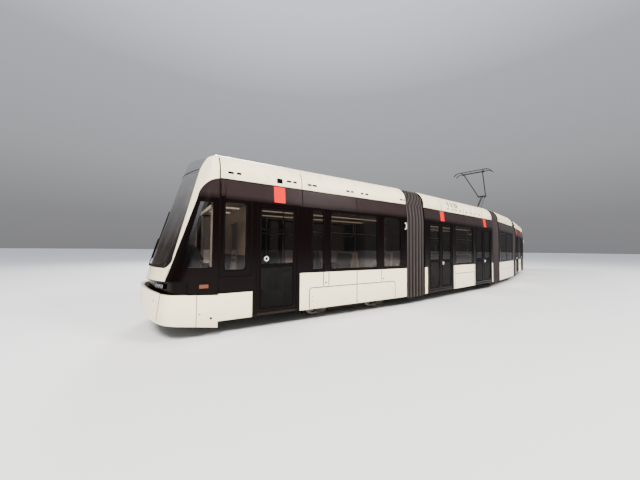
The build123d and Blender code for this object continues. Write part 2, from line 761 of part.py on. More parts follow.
def forehead(inset):
    """Large round bar that the top is cut from: the shoulders drop from the seam towards the screen."""
    slope = math.radians(FOREHEAD_SLOPE)
    down = Vector(math.cos(slope), 0, -math.sin(slope))
    out = Vector(math.sin(slope), 0, math.cos(slope))
    centre = Vector(SEAM, 0, FAIRING_TOP + FOREHEAD_RISE) - out * FOREHEAD_RADIUS
    return Plane(origin=centre, z_dir=down) * Cylinder(FOREHEAD_RADIUS - inset, 2 * FOREHEAD_RADIUS)


def nose_form(inset, back, z0):
    """Outer form of the cab above z0, ahead of the plane x = back, moved in by inset."""
    length = 2 * NOSE_LENGTH + CORNER_RADIUS
    prism = LEAN_PLANE * extrude(nose_plan(inset, 0, -length), 4 * FAR, both=True)
    form = prism & along_x(body_cutter(inset, z0 - CUT), back, NOSE_X + FAR)
    return form & brow(inset, back, z0) & forehead(inset)


def leaning(back, lean, z):
    """Place along x, at height z, of a line that leans back from its foot at the nose's base height."""
    return NOSE_X - back - lean * (z - NOSE_BASE_Z)


def screen_zone():
    """Side outline of the windscreen, rounded at its lower corner and bent back over the brow."""
    far = NOSE_X + FAR
    low = SCREEN_BOTTOM
    third = SCREEN_CORNER / 3
    turn = low + SCREEN_CORNER
    head = (NOSE_X + SCREEN_HEAD[0], SCREEN_HEAD[1])
    via = (NOSE_X + SCREEN_HEAD_VIA[0], SCREEN_HEAD_VIA[1])
    high = FAIRING_TOP + third
    return across([
        (far, low), (leaning(SCREEN_BACK, SCREEN_LEAN, low) + third, low),
        ((leaning(SCREEN_BACK, SCREEN_LEAN, turn), turn),
         (leaning(SCREEN_BACK, SCREEN_LEAN, low + third) + third / 5, low + third)),
        (leaning(SCREEN_BACK, SCREEN_LEAN, SCREEN_BEND_Z), SCREEN_BEND_Z),
        (head, via), (head[0] - third, high), (far, high),
    ])


def dark_zone(z0):
    """Side area behind the white band, as seen from the side."""
    start = (leaning(BAND_BACK, BAND_LEAN, BAND_BEND_Z), BAND_BEND_Z)
    along, up = BAND_ARC
    via = (start[0] - along * (start[0] - SEAM), BAND_BEND_Z + up * (CANT_TOP - BAND_BEND_Z))
    return across([
        (SEAM - CUT, z0), (leaning(BAND_BACK, BAND_LEAN, z0), z0), start, ((SEAM - CUT, CANT_TOP), via),
    ])


def cab_window_tool(y0, y1):
    """Side window of the cab, its front edge along the white band."""
    low, high = CAB_WINDOW_SILL, CAB_WINDOW_TOP
    rear = SEAM + CAB_WINDOW_AHEAD
    return along_y([
        (rear, low), (leaning(BAND_BACK, BAND_LEAN, low) - CAB_WINDOW_LOW_GAP, low),
        (leaning(BAND_BACK, BAND_LEAN, high) - CAB_WINDOW_HIGH_GAP, high), (rear, high),
    ], y0, y1)


def bumper_zone(grow):
    """Side outline of the bumper: its chin rises towards the front and so does its top."""
    x = BUMPER_X + grow
    return across([
        (SEAM, BUMPER_LOW - grow), (x - BUMPER_CHIN_BACK, BUMPER_CHIN - grow),
        ((x, BUMPER_TIP), (x - BUMPER_TIP_VIA[0], BUMPER_TIP_VIA[1])), (x, BUMPER_TOP + grow),
        (BUMPER_X - BUMPER_TOP_BACK, BUMPER_TOP_CORNER + grow), (SEAM, BUMPER_TOP_REAR + grow),
    ])


def bumper():
    return nose_ring(0, WALL, BUMPER_X, SEAM, BUMPER_LOW - CUT, BUMPER_TOP + CUT) & bumper_zone(0)


def lamp_housings():
    """A lamp housing each side, square on to the mask's front arc."""
    radius = FRONT_RADIUS - MASK_INSET
    turn = math.degrees(math.asin(LAMP_Y / radius))
    middle = radius + (LAMP_PROUD - LAMP_ROOT) / 2
    housing = Box(LAMP_PROUD + LAMP_ROOT, LAMP_WIDTH, LAMP_HEIGHT)
    spots = [Rot(0, 0, way) * Pos(middle, 0, 0) * housing for way in (turn, -turn)]
    return Pos(NOSE_X - FRONT_RADIUS, 0, LAMP_Z) * (spots[0] + spots[1])


def lower_mask():
    """Black wall behind the apron and bumper, with its lip, shelf and lamps, and the flush low sides."""
    corner = SEAM + LOW_SIDE
    mask = nose_ring(MASK_INSET, MASK_INSET + NOSE_WALL, NOSE_X, SEAM, MASK_BOTTOM, APRON_BOTTOM)
    mask += lamp_housings()
    mask += nose_ring(MASK_LIP_INSET, MASK_INSET + 1, NOSE_X, SEAM, APRON_BOTTOM - MASK_LIP, APRON_BOTTOM)
    shelf = Pos(0, 0, MASK_BOTTOM) * extrude(nose_plan(WALL + 1, BUMPER_X, SEAM), SHELF)
    mask += shelf - extrude(nose_plan(MASK_INSET + 1, NOSE_X, SEAM - CUT), APRON_BOTTOM)
    mask &= block(corner - WALL, BUMPER_X, -FAR * 2, FAR * 2, MASK_BOTTOM, APRON_BOTTOM)
    sides = nose_ring(0, WALL, NOSE_X, SEAM, MASK_BOTTOM - CUT, APRON_BOTTOM)
    sides &= block(SEAM, corner, -FAR * 2, FAR * 2, MASK_BOTTOM - CUT, APRON_BOTTOM)
    return mask + (sides - bumper_zone(0.3))


def cab_pieces():
    """Everything ahead of the seam and above the bumper, by finish."""
    outer = nose_form(0, SEAM, APRON_BOTTOM)
    shell = outer - nose_form(NOSE_WALL, SEAM - CUT / 2, APRON_BOTTOM - CUT / 2)
    glazing = outer - nose_form(GLASS, SEAM - CUT / 2, APRON_BOTTOM - CUT / 2)
    zone = screen_zone()
    dark = dark_zone(APRON_BOTTOM)
    rest = shell - zone
    seam_x = leaning(APRON_SEAM_BACK, RAKE, APRON_BOTTOM)
    seam_top = leaning(APRON_SEAM_BACK, RAKE, SCREEN_BOTTOM)
    apron_seam = across([
        (seam_x, APRON_BOTTOM - CUT), (seam_x + APRON_SEAM, APRON_BOTTOM - CUT),
        (seam_top + APRON_SEAM, SCREEN_BOTTOM), (seam_top, SCREEN_BOTTOM),
    ])
    band = rest - dark - apron_seam
    sides = rest & dark
    seam_rise = (SCREEN_SEAM_Z - NOSE_BASE_Z) / LEAN.Z
    screen_seam = LEAN_PLANE * Pos(0, 0, seam_rise) * Box(4 * FAR, 4 * FAR, GROOVE)
    panes = [(glazing & zone) - screen_seam]
    for y0, y1 in ((INNER_Y - CUT, HALF_WIDTH + CUT), (-HALF_WIDTH - CUT, CUT - INNER_Y)):
        tool = cab_window_tool(y0, y1)
        panes.append(glazing & tool)
        sides -= tool
    return band, panes, [sides, lower_mask()]


# Bellows: a soft tunnel as high as the roof fairings, open below, bent round the curve between two sections
def bellows(bend, x_joint):
    """Tunnel from half a gap before x_joint, bent by the angle between the sections."""
    outer = body_outline(BELLOWS_INSET, BELLOWS_LOW)
    inner = body_outline(BELLOWS_INSET + BELLOWS_WALL, BELLOWS_LOW - CUT)
    face = Pos(x_joint - END, 0, 0) * (face_on(Plane.YZ, outer) - face_on(Plane.YZ, inner))
    radius = END / math.tan(math.radians(abs(bend)) / 2)
    side = 1 if bend > 0 else -1
    return revolve(face, Axis((x_joint - END, side * radius, 0), (0, 0, side)), abs(bend))


# Sections in their own frames: x runs outwards from the joint nearer the middle of the tram
def camera_pods():
    """Upright camera housings on both sides, just behind the seam."""
    pod = block(SEAM + CAMERA_X[0], SEAM + CAMERA_X[1], INNER_Y, HALF_WIDTH + CAMERA_PROUD, *CAMERA_Z)
    outer_edges = [e for e in pod.edges().filter_by(Axis.Z) if e.center().Y > HALF_WIDTH]
    return both_sides([fillet(outer_edges, CAMERA_PROUD / 2)])


def cab_floor():
    x_bogie = BOGIE_FROM_JOINT
    front, tip = SEAM + CAB_FLOOR_AHEAD[0], SEAM + CAB_FLOOR_AHEAD[1]
    half = CAB_FLOOR_HALF
    floor = bogie_floor(END, SEAM, x_bogie)
    floor += along_z([
        (SEAM, -INNER_Y), (front, -INNER_Y), (tip, -half), (tip, half), (front, INNER_Y), (SEAM, INNER_Y),
    ], FLOOR_BOTTOM, FLOOR_TOP)
    floor += block(tip, BUMPER_X - TONGUE_BACK, -TONGUE_HALF, TONGUE_HALF, FLOOR_BOTTOM, FLOOR_TOP)
    floor -= disc(BUMPER_X - TOW_PIN_BACK, FLOOR_BOTTOM - CUT, FLOOR_TOP + CUT, TOW_PIN_RADIUS)
    return floor + lower_knuckle(0, END)


def cab_interior(door):
    x0, x1 = door[1] + PARTITION_BEHIND, door[1] + PARTITION_BEHIND + PARTITION
    way = PARTITION_DOOR_HALF
    partition = block(x0, x1, -INNER_Y, INNER_Y, FLOOR_TOP, CANT_START - CEILING)
    partition -= block(x0 - CUT, x1 + CUT, -way, way, FLOOR_TOP - CUT, PARTITION_DOOR_TOP)
    foot = SEAM + DESK_AHEAD
    desk = along_y([(foot + dx, z) for dx, z in DESK_OUTLINE], -DESK_HALF, DESK_HALF)
    desk &= extrude(nose_plan(MASK_INSET + NOSE_WALL + PLATE, NOSE_X, SEAM), CANT_START)
    desk &= nose_form(NOSE_WALL + PLATE, SEAM, FLOOR_TOP)
    driver = seat(SEAM - DRIVER_SEAT_BEHIND, 0, FLOOR_TOP, 1, PEDESTAL, DRIVER_SEAT_WIDTH)
    poles = [pole(door[0] + DOOR_POLE_IN, DOOR_POLE_Y), pole(END + WIDE_PILLAR, POLE_Y)]
    inside = podium_seats(BOGIE_FROM_JOINT) + [partition, desk, driver, ceiling(END + PORTAL, SEAM)]
    return inside + both_sides(poles)


def cab_section():
    windows, doors = lay_out(CAB_ROW, END)
    door = doors[0]
    x_bogie = BOGIE_FROM_JOINT
    hatch_half = WELL_LENGTH / 2 - HATCH_MARGIN
    walls = both_sides([upper_walls(END, SEAM, windows, doors, (door[1], SEAM))])
    shell = walls[0] + walls[1] + end_portal(END, END + PORTAL)
    for pod in camera_pods():
        shell += pod
    skirts = both_sides([
        skirt_panel(END, door[0], SKIRT_TOP, (x_bogie,), (x_bogie - hatch_half, x_bogie + hatch_half)),
        skirt_panel(door[1], SEAM, CAB_SKIRT_TOP),
    ])
    frames, panes = side_doors(doors)
    band, cab_panes, dark = cab_pieces()
    roof = roof_shell(END, SEAM, [END]) + roof_unit(END, SEAM, CAB_UNIT)
    return {
        "floor": [cab_floor()], "podiums": podiums(x_bogie), "walls": [shell], "skirts": skirts,
        "doors": both_sides(frames), "roof": [roof],
        "glass": both_sides(window_panes(windows) + panes) + cab_panes,
        "cab_band": [band], "cab_sides": dark, "bumper": [bumper()], "interior": cab_interior(door),
    }


def hanging_section():
    windows, doors = lay_out(HANGING_ROW, END)
    near, far = doors
    bay = windows[0]
    length = SUSPENDED_LENGTH
    a, b = END, length - END
    walls = both_sides([upper_walls(a, b, windows, doors)])
    shell = walls[0] + walls[1] + end_portal(a, a + PORTAL) + end_portal(b - PORTAL, b)
    skirts = both_sides([skirt_panel(a, near[0]), skirt_panel(near[1], far[0]), skirt_panel(far[1], b)])
    frames, panes = side_doors(doors)
    floor = block(a, b, -INNER_Y, INNER_Y, FLOOR_BOTTOM, FLOOR_TOP)
    floor += upper_knuckle(0, a) + upper_knuckle(length, b)
    floor -= plate_recess(0)
    floor -= plate_recess(length)
    roof = roof_shell(a, b, [a, b]) + roof_unit(a, b, HANGING_UNIT)
    y = INNER_Y - SEAT_SIDE_GAP - SEAT_WIDTH / 2
    seats = both_sides([
        seat(bay[0] + BAY_SEAT_FRONT, y, FLOOR_TOP, 1, PEDESTAL, SEAT_WIDTH),
        seat(bay[1] - BAY_SEAT_REAR, y, FLOOR_TOP, -1, PEDESTAL, SEAT_WIDTH),
    ])
    poles = both_sides([pole((door[0] + door[1]) / 2, POLE_Y) for door in doors])
    return {
        "floor": [floor], "walls": [shell], "skirts": skirts, "doors": both_sides(frames), "roof": [roof],
        "glass": both_sides(window_panes(windows) + panes),
        "interior": seats + poles + [ceiling(a + PORTAL, b - PORTAL)],
    }


def insulator(x, y):
    """Post insulator with two sheds, between the roof unit and the pantograph's frame."""
    z0, z1 = MIDDLE_UNIT[3], PAN_FRAME_Z
    third = (z1 - z0) / 3
    post = Cylinder(INSULATOR_RADIUS, z1 - z0)
    for z in (-third / 2, third / 2):
        post += Pos(0, 0, z) * Cylinder(INSULATOR_SHED, INSULATOR_RIB)
    return Pos(x, y, (z0 + z1) / 2) * post


def middle_section():
    half = CENTRE_LENGTH / 2
    a, b = END - half, half - END
    hatch_half = WELL_LENGTH / 2 - HATCH_MARGIN
    windows, doors = lay_out(MIDDLE_ROW, a)
    walls = both_sides([upper_walls(a, b, windows, doors)])
    shell = walls[0] + walls[1] + end_portal(a, a + PORTAL) + end_portal(b - PORTAL, b)
    skirts = both_sides([skirt_panel(a, b, SKIRT_TOP, (0,), (-hatch_half, hatch_half))])
    floor = bogie_floor(a, b, 0) + lower_knuckle(half, b) + lower_knuckle(-half, a)
    roof = roof_shell(a, b, [a, b]) + roof_unit(a, b, MIDDLE_UNIT)
    for x in (PAN_BASE[0] - INSULATOR_X, PAN_BASE[0] + INSULATOR_X):
        for y in (-INSULATOR_Y, INSULATOR_Y):
            roof += insulator(x, y)
    return {
        "floor": [floor], "podiums": podiums(0), "walls": [shell], "skirts": skirts,
        "roof": [roof + pan_base()], "glass": both_sides(window_panes(windows)),
        "interior": podium_seats(0) + [ceiling(a + PORTAL, b - PORTAL)],
    }


# Pantograph
def tube(p, q, radius):
    """Round bar from p to q."""
    p, q = Vector(*p), Vector(*q)
    run = q - p
    return extrude(Plane(origin=p, z_dir=run) * Circle(radius), run.length)


def pan_tail():
    """Point on the upper arm's tail, behind the knee, where the guide rod holds it."""
    kx, kz = PAN_KNEE
    run = Vector(kx - PAN_HEAD[0], 0, kz - PAN_HEAD[1]).normalized() * PAN_TAIL
    return kx + run.X, kz + run.Z


def pan_base():
    """Base frame on the roof, with the arm's bearings and the guide rod's bracket."""
    bx, bz = PAN_BASE
    rx, rz = PAN_ROD_BASE
    low, high = PAN_FRAME_Z, PAN_FRAME_Z + PAN_FRAME_BAR
    inner_length = PAN_FRAME_LENGTH - 2 * PAN_FRAME_SIDE
    inner_width = PAN_FRAME_WIDTH - 2 * PAN_FRAME_SIDE
    frame = Box(PAN_FRAME_LENGTH, PAN_FRAME_WIDTH, PAN_FRAME_BAR)
    frame -= Box(inner_length, inner_width, 2 * PAN_FRAME_BAR)
    base = Pos(bx, 0, (low + high) / 2) * frame
    reach = inner_width / 2 + 1
    for x, half in ((bx, PAN_FRAME_BAR), (rx, PAN_BRACKET_HALF)):
        base += block(x - half, x + half, -reach, reach, low, high)
    for y0, y1 in (PAN_CHEEK, (-PAN_CHEEK[1], -PAN_CHEEK[0])):
        base += block(bx - PAN_CHEEK_HALF, bx + PAN_CHEEK_HALF, y0, y1, high - 1, bz + PAN_CHEEK_HALF)
        base -= bar_y(bx, bz, y0 - CUT, y1 + CUT, PAN_PIVOT + FIT)
    b0, b1 = PAN_ROD_Y - PAN_BRACKET[1], PAN_ROD_Y - PAN_BRACKET[0]
    base += block(rx - PAN_BRACKET_HALF, rx + PAN_BRACKET_HALF, b0, b1, high - 1, rz + PAN_BRACKET_HALF)
    return base + bar_y(rx, rz, b1 - 1, PAN_ROD_Y + PAN_ROD_CLEAR, PAN_ROD_PIN)


def pan_lower_arm():
    bx, bz = PAN_BASE
    kx, kz = PAN_KNEE
    arm = bar_y(bx, bz, -PAN_PIVOT_HALF, PAN_PIVOT_HALF, PAN_PIVOT)
    arm += tube((bx, 0, bz), (kx, 0, kz), PAN_LOWER_TUBE)
    arm += bar_y(kx, kz, -PAN_KNEE_HALF, PAN_KNEE_HALF, PAN_KNEE_BARREL)
    return arm - bar_y(kx, kz, -PAN_KNEE_HALF - CUT, PAN_KNEE_HALF + CUT, PAN_KNEE_PIN + FIT)


def pan_upper_arm():
    """Two tubes from the knee to the head; its barrel on the left leaves the guide rod room."""
    kx, kz = PAN_KNEE
    hx, hz = PAN_HEAD
    tx, tz = pan_tail()
    arm = bar_y(kx, kz, -PAN_ARM_HALF, PAN_ARM_HALF, PAN_KNEE_PIN)
    for y0, y1 in ((-PAN_ARM_HALF, -PAN_KNEE_HALF - 1), (PAN_ROD_Y + PAN_ROD_CLEAR, PAN_ARM_HALF)):
        arm += bar_y(kx, kz, y0, y1, PAN_UPPER_BARREL)
    for side in (-1, 1):
        foot = (kx, side * (PAN_ARM_HALF - PAN_UPPER_TUBE - 1), kz)
        arm += tube(foot, (hx, side * PAN_HEAD_SPREAD, hz), PAN_UPPER_TUBE)
    head_half = PAN_HEAD_SPREAD + PAN_HEAD_BAR_END
    arm += bar_y(hx, hz, -head_half, head_half, PAN_HEAD_BAR)
    tail_y = PAN_ROD_Y + PAN_TAIL_GAP
    arm += tube((kx, tail_y, kz), (tx, tail_y, tz), PAN_TAIL_TUBE)
    return arm + bar_y(tx, tz, PAN_ROD_Y - PAN_EYE_HALF, tail_y + PAN_OPEN_HALF, PAN_ROD_PIN)


def pan_rod():
    """Guide rod: a close eye on its base pin, and an open one round the tail's pin."""
    rx, rz = PAN_ROD_BASE
    tx, tz = pan_tail()
    y = PAN_ROD_Y
    rod = tube((rx, y, rz), (tx, y, tz), PAN_ROD_TUBE)
    rod += bar_y(rx, rz, y - PAN_EYE_HALF, y + PAN_EYE_HALF, PAN_EYE)
    rod += bar_y(tx, tz, y - PAN_OPEN_HALF, y + PAN_OPEN_HALF, PAN_OPEN_EYE)
    rod -= bar_y(rx, rz, y - PAN_EYE_HALF - CUT, y + PAN_EYE_HALF + CUT, PAN_ROD_PIN + FIT)
    return rod - bar_y(tx, tz, y - PAN_OPEN_HALF - CUT, y + PAN_OPEN_HALF + CUT, PAN_OPEN_BORE)


def pan_head():
    """Two contact strips with down-turned horns, on a yoke each side."""
    hx, hz = PAN_HEAD
    flat = STRIP_HALF
    tip = HORN_TIP_Y
    top, low = hz + STRIP_TOP, hz + STRIP_TOP - STRIP_THICK
    outer_via = (flat + HORN_BULGE, top - HORN_SAG)
    inner_via = (flat + HORN_BULGE - HORN_INNER[0], top - HORN_INNER[1])
    horn = (tip - HORN_THICK, hz - HORN_DROP - HORN_TIP_CUT)
    shape = [
        (-flat, top), (flat, top), ((tip, hz - HORN_DROP), outer_via), horn, ((flat, low), inner_via),
        (-flat, low), ((-horn[0], horn[1]), (-inner_via[0], inner_via[1])), (-tip, hz - HORN_DROP),
        ((-flat, top), (-outer_via[0], outer_via[1])),
    ]
    yoke_y = PAN_HEAD_SPREAD + YOKE_IN
    leg = YOKE_LEG_HALF
    head = None
    for y0, y1 in ((yoke_y, yoke_y + YOKE), (-yoke_y - YOKE, -yoke_y)):
        yoke = block(hx - STRIP_X, hx + STRIP_X, y0, y1, hz + STRIP_THICK, low + 1)
        yoke += block(hx - leg, hx + leg, y0, y1, hz - leg, hz + leg)
        yoke -= bar_y(hx, hz, y0 - CUT, y1 + CUT, PAN_HEAD_BAR + FIT)
        head = yoke if head is None else head + yoke
    for x in (hx - STRIP_X, hx + STRIP_X):
        head += along_x(shape, x - STRIP_WIDTH / 2, x + STRIP_WIDTH / 2)
    return head


def write(name, shapes, place=Location()):
    solids = [place * solid for shape in shapes for solid in shape.solids()]
    export_step(Compound(children=solids), "parts/" + name + ".step")


def main():
    half = CENTRE_LENGTH / 2
    length = SUSPENDED_LENGTH
    front_2 = Location((half, 0, 0), (0, 0, BEND_FRONT_INNER))
    front_1 = front_2 * Location((length, 0, 0), (0, 0, BEND_FRONT_OUTER))
    rear_4 = Location((-half, 0, 0), (0, 0, 180 + BEND_REAR_INNER))
    rear_5 = rear_4 * Location((length, 0, 0), (0, 0, BEND_REAR_OUTER))
    cab, hanging, middle = cab_section(), hanging_section(), middle_section()
    rows = [
        ("m1", cab, front_1), ("m2", hanging, front_2), ("m3", middle, Location()),
        ("m4", hanging, rear_4), ("m5", cab, rear_5),
    ]
    for prefix, section, place in rows:
        for name, shapes in section.items():
            write(prefix + "_" + name, shapes, place)
    bogie_frame, wheels = bogie(), wheelset()
    bogies = [(1, front_1, BOGIE_FROM_JOINT), (3, Location(), 0), (5, rear_5, BOGIE_FROM_JOINT)]
    for number, place, x in bogies:
        spot = place * Location((x, 0, 0))
        write(f"bogie{number}_frame", [bogie_frame], spot)
        for letter, side in (("a", 1), ("b", -1)):
            axle = spot * Location((side * WHEELBASE / 2, 0, WHEEL_RADIUS))
            write(f"wheelset_{number}{letter}", [wheels], axle)
    write("bellows_12", [bellows(BEND_FRONT_OUTER, length)], front_2)
    write("bellows_23", [bellows(BEND_FRONT_INNER, half)])
    write("bellows_34", [bellows(BEND_REAR_INNER, half)], Location((0, 0, 0), (0, 0, 180)))
    write("bellows_45", [bellows(BEND_REAR_OUTER, length)], rear_4)
    write("pan_lower", [pan_lower_arm()])
    write("pan_upper", [pan_upper_arm()])
    write("pan_rod", [pan_rod()])
    write("pan_head", [pan_head()])


main()
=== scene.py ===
# %% [markdown]
# # A five-section low-floor tram
# The solids come from the CAD model, in metres, and stay where they are. This script dresses them:
# paint, glass, rubber and fabric, and the thin or soft pieces that are easier as surfaces.
# Both ends are alike and so are both sides, so each piece is described once, in the frame of its own
# section, and a loop carries it to the others.

# %% Load the frame
import json
import math

import bmesh
import bpy
import numpy as np
from mathutils import Matrix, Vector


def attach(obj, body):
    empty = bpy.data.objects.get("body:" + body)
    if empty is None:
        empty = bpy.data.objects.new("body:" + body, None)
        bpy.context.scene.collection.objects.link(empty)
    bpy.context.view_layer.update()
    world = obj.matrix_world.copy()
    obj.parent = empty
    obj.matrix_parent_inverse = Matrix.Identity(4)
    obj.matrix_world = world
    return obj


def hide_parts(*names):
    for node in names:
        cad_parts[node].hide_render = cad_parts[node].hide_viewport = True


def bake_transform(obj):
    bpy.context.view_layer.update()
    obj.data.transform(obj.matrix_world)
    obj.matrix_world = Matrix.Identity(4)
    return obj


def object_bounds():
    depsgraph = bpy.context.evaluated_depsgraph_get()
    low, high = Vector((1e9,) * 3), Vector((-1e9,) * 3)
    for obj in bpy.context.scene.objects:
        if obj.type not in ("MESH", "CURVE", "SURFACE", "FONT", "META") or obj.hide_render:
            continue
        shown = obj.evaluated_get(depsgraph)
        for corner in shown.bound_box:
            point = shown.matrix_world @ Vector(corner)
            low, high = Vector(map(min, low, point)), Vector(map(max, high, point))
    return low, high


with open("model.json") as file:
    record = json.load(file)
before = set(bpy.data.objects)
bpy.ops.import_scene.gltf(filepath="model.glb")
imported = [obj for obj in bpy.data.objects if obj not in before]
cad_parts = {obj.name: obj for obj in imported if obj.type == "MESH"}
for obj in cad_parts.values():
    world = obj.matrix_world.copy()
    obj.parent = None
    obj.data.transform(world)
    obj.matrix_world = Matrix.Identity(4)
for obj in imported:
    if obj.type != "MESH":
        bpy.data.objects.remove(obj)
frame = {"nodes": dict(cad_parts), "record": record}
cad_low, cad_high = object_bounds()
joint_at = {j["name"]: np.array(j["pos_m"]) for j in frame["record"]["behaviour"]["joints"]}

# %% [markdown]
# ## Sections
# The tram stands in a curve, so each section has its own heading. A section's own x axis starts at the
# joint nearer the tram's middle and runs outwards. The joints' places in the frame give both.

# %% Section frames
UP, ACROSS = (0.0, 0.0, 1.0), (0.0, 1.0, 0.0)


class Section:
    """Frame of one section: an origin on the ground plane, and the way its own x axis points."""

    def __init__(self, body, prefix, start, toward):
        self.body = body
        self.prefix = prefix
        self.start = np.array([start[0], start[1], 0.0])
        run = np.array([toward[0] - start[0], toward[1] - start[1], 0.0])
        self.along = run / np.linalg.norm(run)
        self.across = np.array([-self.along[1], self.along[0], 0.0])
        self.heading = math.atan2(self.along[1], self.along[0])

    def place(self, points):
        """Row-frame points for points given as (x, y, z) in this section, on the array's last axis."""
        p = np.asarray(points, float)
        return self.start + p @ np.array([self.along, self.across, UP])


front_cab = Section("front_cab_section", "m1",
                    joint_at["front_outer_articulation"], joint_at["front_bogie_yaw"])
rear_cab = Section("rear_cab_section", "m5",
                   joint_at["rear_outer_articulation"], joint_at["rear_bogie_yaw"])
front_hanging = Section("front_hanging_section", "m2",
                        joint_at["front_inner_articulation"], joint_at["front_outer_articulation"])
rear_hanging = Section("rear_hanging_section", "m4",
                       joint_at["rear_inner_articulation"], joint_at["rear_outer_articulation"])
middle = Section("middle_section", "m3", (0.0, 0.0), (1.0, 0.0))
CABS = (front_cab, rear_cab)
HANGING = (front_hanging, rear_hanging)
SECTIONS = CABS + HANGING + (middle,)
print("headings", {s.prefix: round(math.degrees(s.heading), 1) for s in SECTIONS})

# %% [markdown]
# ## Camera
# The camera stood abreast of the nose, 1.6 m above the ground, with a very wide lens. Its place, its turn
# and its focal length were worked out from the tram's own edges.

# %% Camera
IMAGE_WIDTH = 640
FOCAL_PIXELS = 262.0
SENSOR = 36.0
FARTHEST_SEEN = 200.0
CAMERA_AT = (15.551, 4.020, 1.602)
CAMERA_YAW, CAMERA_PITCH, CAMERA_ROLL = 0.7792, 0.0333, 0.0096


def camera_axes(yaw, pitch, roll):
    """Right, up and backward of a camera that looks along -Y, turned by yaw, pitched up and rolled."""
    forward = np.array([-math.sin(yaw) * math.cos(pitch), -math.cos(yaw) * math.cos(pitch), math.sin(pitch)])
    right = np.cross(forward, UP)
    right /= np.linalg.norm(right)
    up = np.cross(right, forward)
    c, s = math.cos(roll), math.sin(roll)
    return right * c + up * s, up * c - right * s, -forward


def standing_at(right, up, back, place):
    """Matrix of an object that has these three axes and stands at this place."""
    matrix = np.eye(4)
    matrix[:3] = np.stack([right, up, back, place], axis=1)
    return Matrix(matrix.tolist())


def make_camera():
    """The lens in millimetres is the focal length in pixels times the sensor's width per pixel."""
    data = bpy.data.cameras.new("camera")
    data.sensor_width = SENSOR
    data.lens = SENSOR * FOCAL_PIXELS / IMAGE_WIDTH
    data.clip_end = FARTHEST_SEEN
    camera = bpy.data.objects.new("camera", data)
    bpy.context.scene.collection.objects.link(camera)
    camera.matrix_world = standing_at(*camera_axes(CAMERA_YAW, CAMERA_PITCH, CAMERA_ROLL), CAMERA_AT)
    bpy.context.scene.camera = camera
    return camera


camera = make_camera()
print("lens", round(camera.data.lens, 2), "mm")

# %% [markdown]
# ## Light and floor
# Soft studio light: a sky that is bright overhead and dim near the horizon, so that upright black panels
# stay deep and leaning ones catch a sheen. Three large lamps shape the form. The floor lies where the
# wheels' flanges reach. Each stop of the sky is a height, 0 level and 1 straight up, and a colour.

# %% Light and floor
SKY = [(0.0, (0.24, 0.24, 0.25, 1.0)), (0.10, (0.27, 0.27, 0.28, 1.0)), (0.26, (0.40, 0.41, 0.43, 1.0)),
       (0.50, (0.50, 0.52, 0.56, 1.0)), (0.68, (0.90, 0.95, 1.05, 1.0))]
FLOOR_HALF = 250.0


def make_world():
    """Background whose colour depends on the direction's height alone."""
    world = bpy.data.worlds.new("world")
    bpy.context.scene.world = world
    world.use_nodes = True
    nodes, links = world.node_tree.nodes, world.node_tree.links
    kinds = ("TexCoord", "SeparateXYZ", "ValToRGB")
    coords, height, ramp = (nodes.new("ShaderNode" + kind) for kind in kinds)
    for extra in SKY[2:]:
        ramp.color_ramp.elements.new(extra[0])
    for element, (position, tone) in zip(ramp.color_ramp.elements, SKY):
        element.position, element.color = position, tone
    links.new(coords.outputs["Generated"], height.inputs[0])
    links.new(height.outputs["Z"], ramp.inputs[0])
    links.new(ramp.outputs[0], nodes["Background"].inputs["Color"])


def make_lamp(name, place, target, size, power, colour):
    """Disc lamp of a size in metres and a power in watts, that looks from its place to a target."""
    data = bpy.data.lights.new(name, "AREA")
    data.shape = "DISK"
    data.size = size
    data.energy = power
    data.color = colour
    lamp = bpy.data.objects.new(name, data)
    bpy.context.scene.collection.objects.link(lamp)
    away = np.array(place, float) - np.array(target, float)
    away /= np.linalg.norm(away)
    side = np.cross(UP, away)
    side /= np.linalg.norm(side)
    lamp.matrix_world = standing_at(side, np.cross(away, side), away, place)


def make_floor():
    """Wide level square under the wheels."""
    mesh = bpy.data.meshes.new("studio_floor")
    corners = [(FLOOR_HALF * i, FLOOR_HALF * j, cad_low.z) for i, j in ((-1, -1), (1, -1), (1, 1), (-1, 1))]
    mesh.from_pydata(corners, [], [(0, 1, 2, 3)])
    studio_floor = bpy.data.objects.new("studio_floor", mesh)
    bpy.context.scene.collection.objects.link(studio_floor)
    return studio_floor


make_world()
make_lamp("key", (24.0, 13.0, 17.0), (7.0, 0.0, 1.5), 7.0, 13000.0, (1.0, 0.96, 0.90))
make_lamp("fill", (-2.0, 26.0, 22.0), (0.0, 0.0, 1.5), 10.0, 12000.0, (1.0, 0.97, 0.94))
make_lamp("back", (0.0, -22.0, 18.0), (0.0, 0.0, 1.5), 10.0, 9000.0, (1.0, 1.0, 1.0))
studio_floor = make_floor()
print("world and three lamps")

# %% [markdown]
# ## Shader formulas
# A finish is written as a formula. Socket wraps a node's output, and its operators add Math nodes, so
# `1 - mask` or `noise * 0.2 + 0.3` reads as it would on paper.


# %% Shader formulas
class Socket:
    """A node's output in a formula: each operator adds one Math node."""

    def __init__(self, finish, output):
        self.finish = finish
        self.output = output

    def math(self, operation, *others):
        values = dict(enumerate((self,) + others))
        return self.finish.add("ShaderNodeMath", {"operation": operation}, values)

    def __add__(self, other):
        return self.math("ADD", other)

    def __sub__(self, other):
        return self.math("SUBTRACT", other)

    def __rsub__(self, other):
        return self.finish.add("ShaderNodeMath", {"operation": "SUBTRACT"}, {0: other, 1: self})

    def __mul__(self, other):
        return self.math("MULTIPLY", other)

    def __truediv__(self, other):
        return self.math("DIVIDE", other)

    def __lt__(self, other):
        return self.math("LESS_THAN", other)

    def __gt__(self, other):
        return self.math("GREATER_THAN", other)

    __radd__ = __add__
    __rmul__ = __mul__

    def clamped(self):
        """This value held between 0 and 1."""
        return self.finish.add("ShaderNodeClamp", {}, {0: self})


print("formulas take + - * / < >")

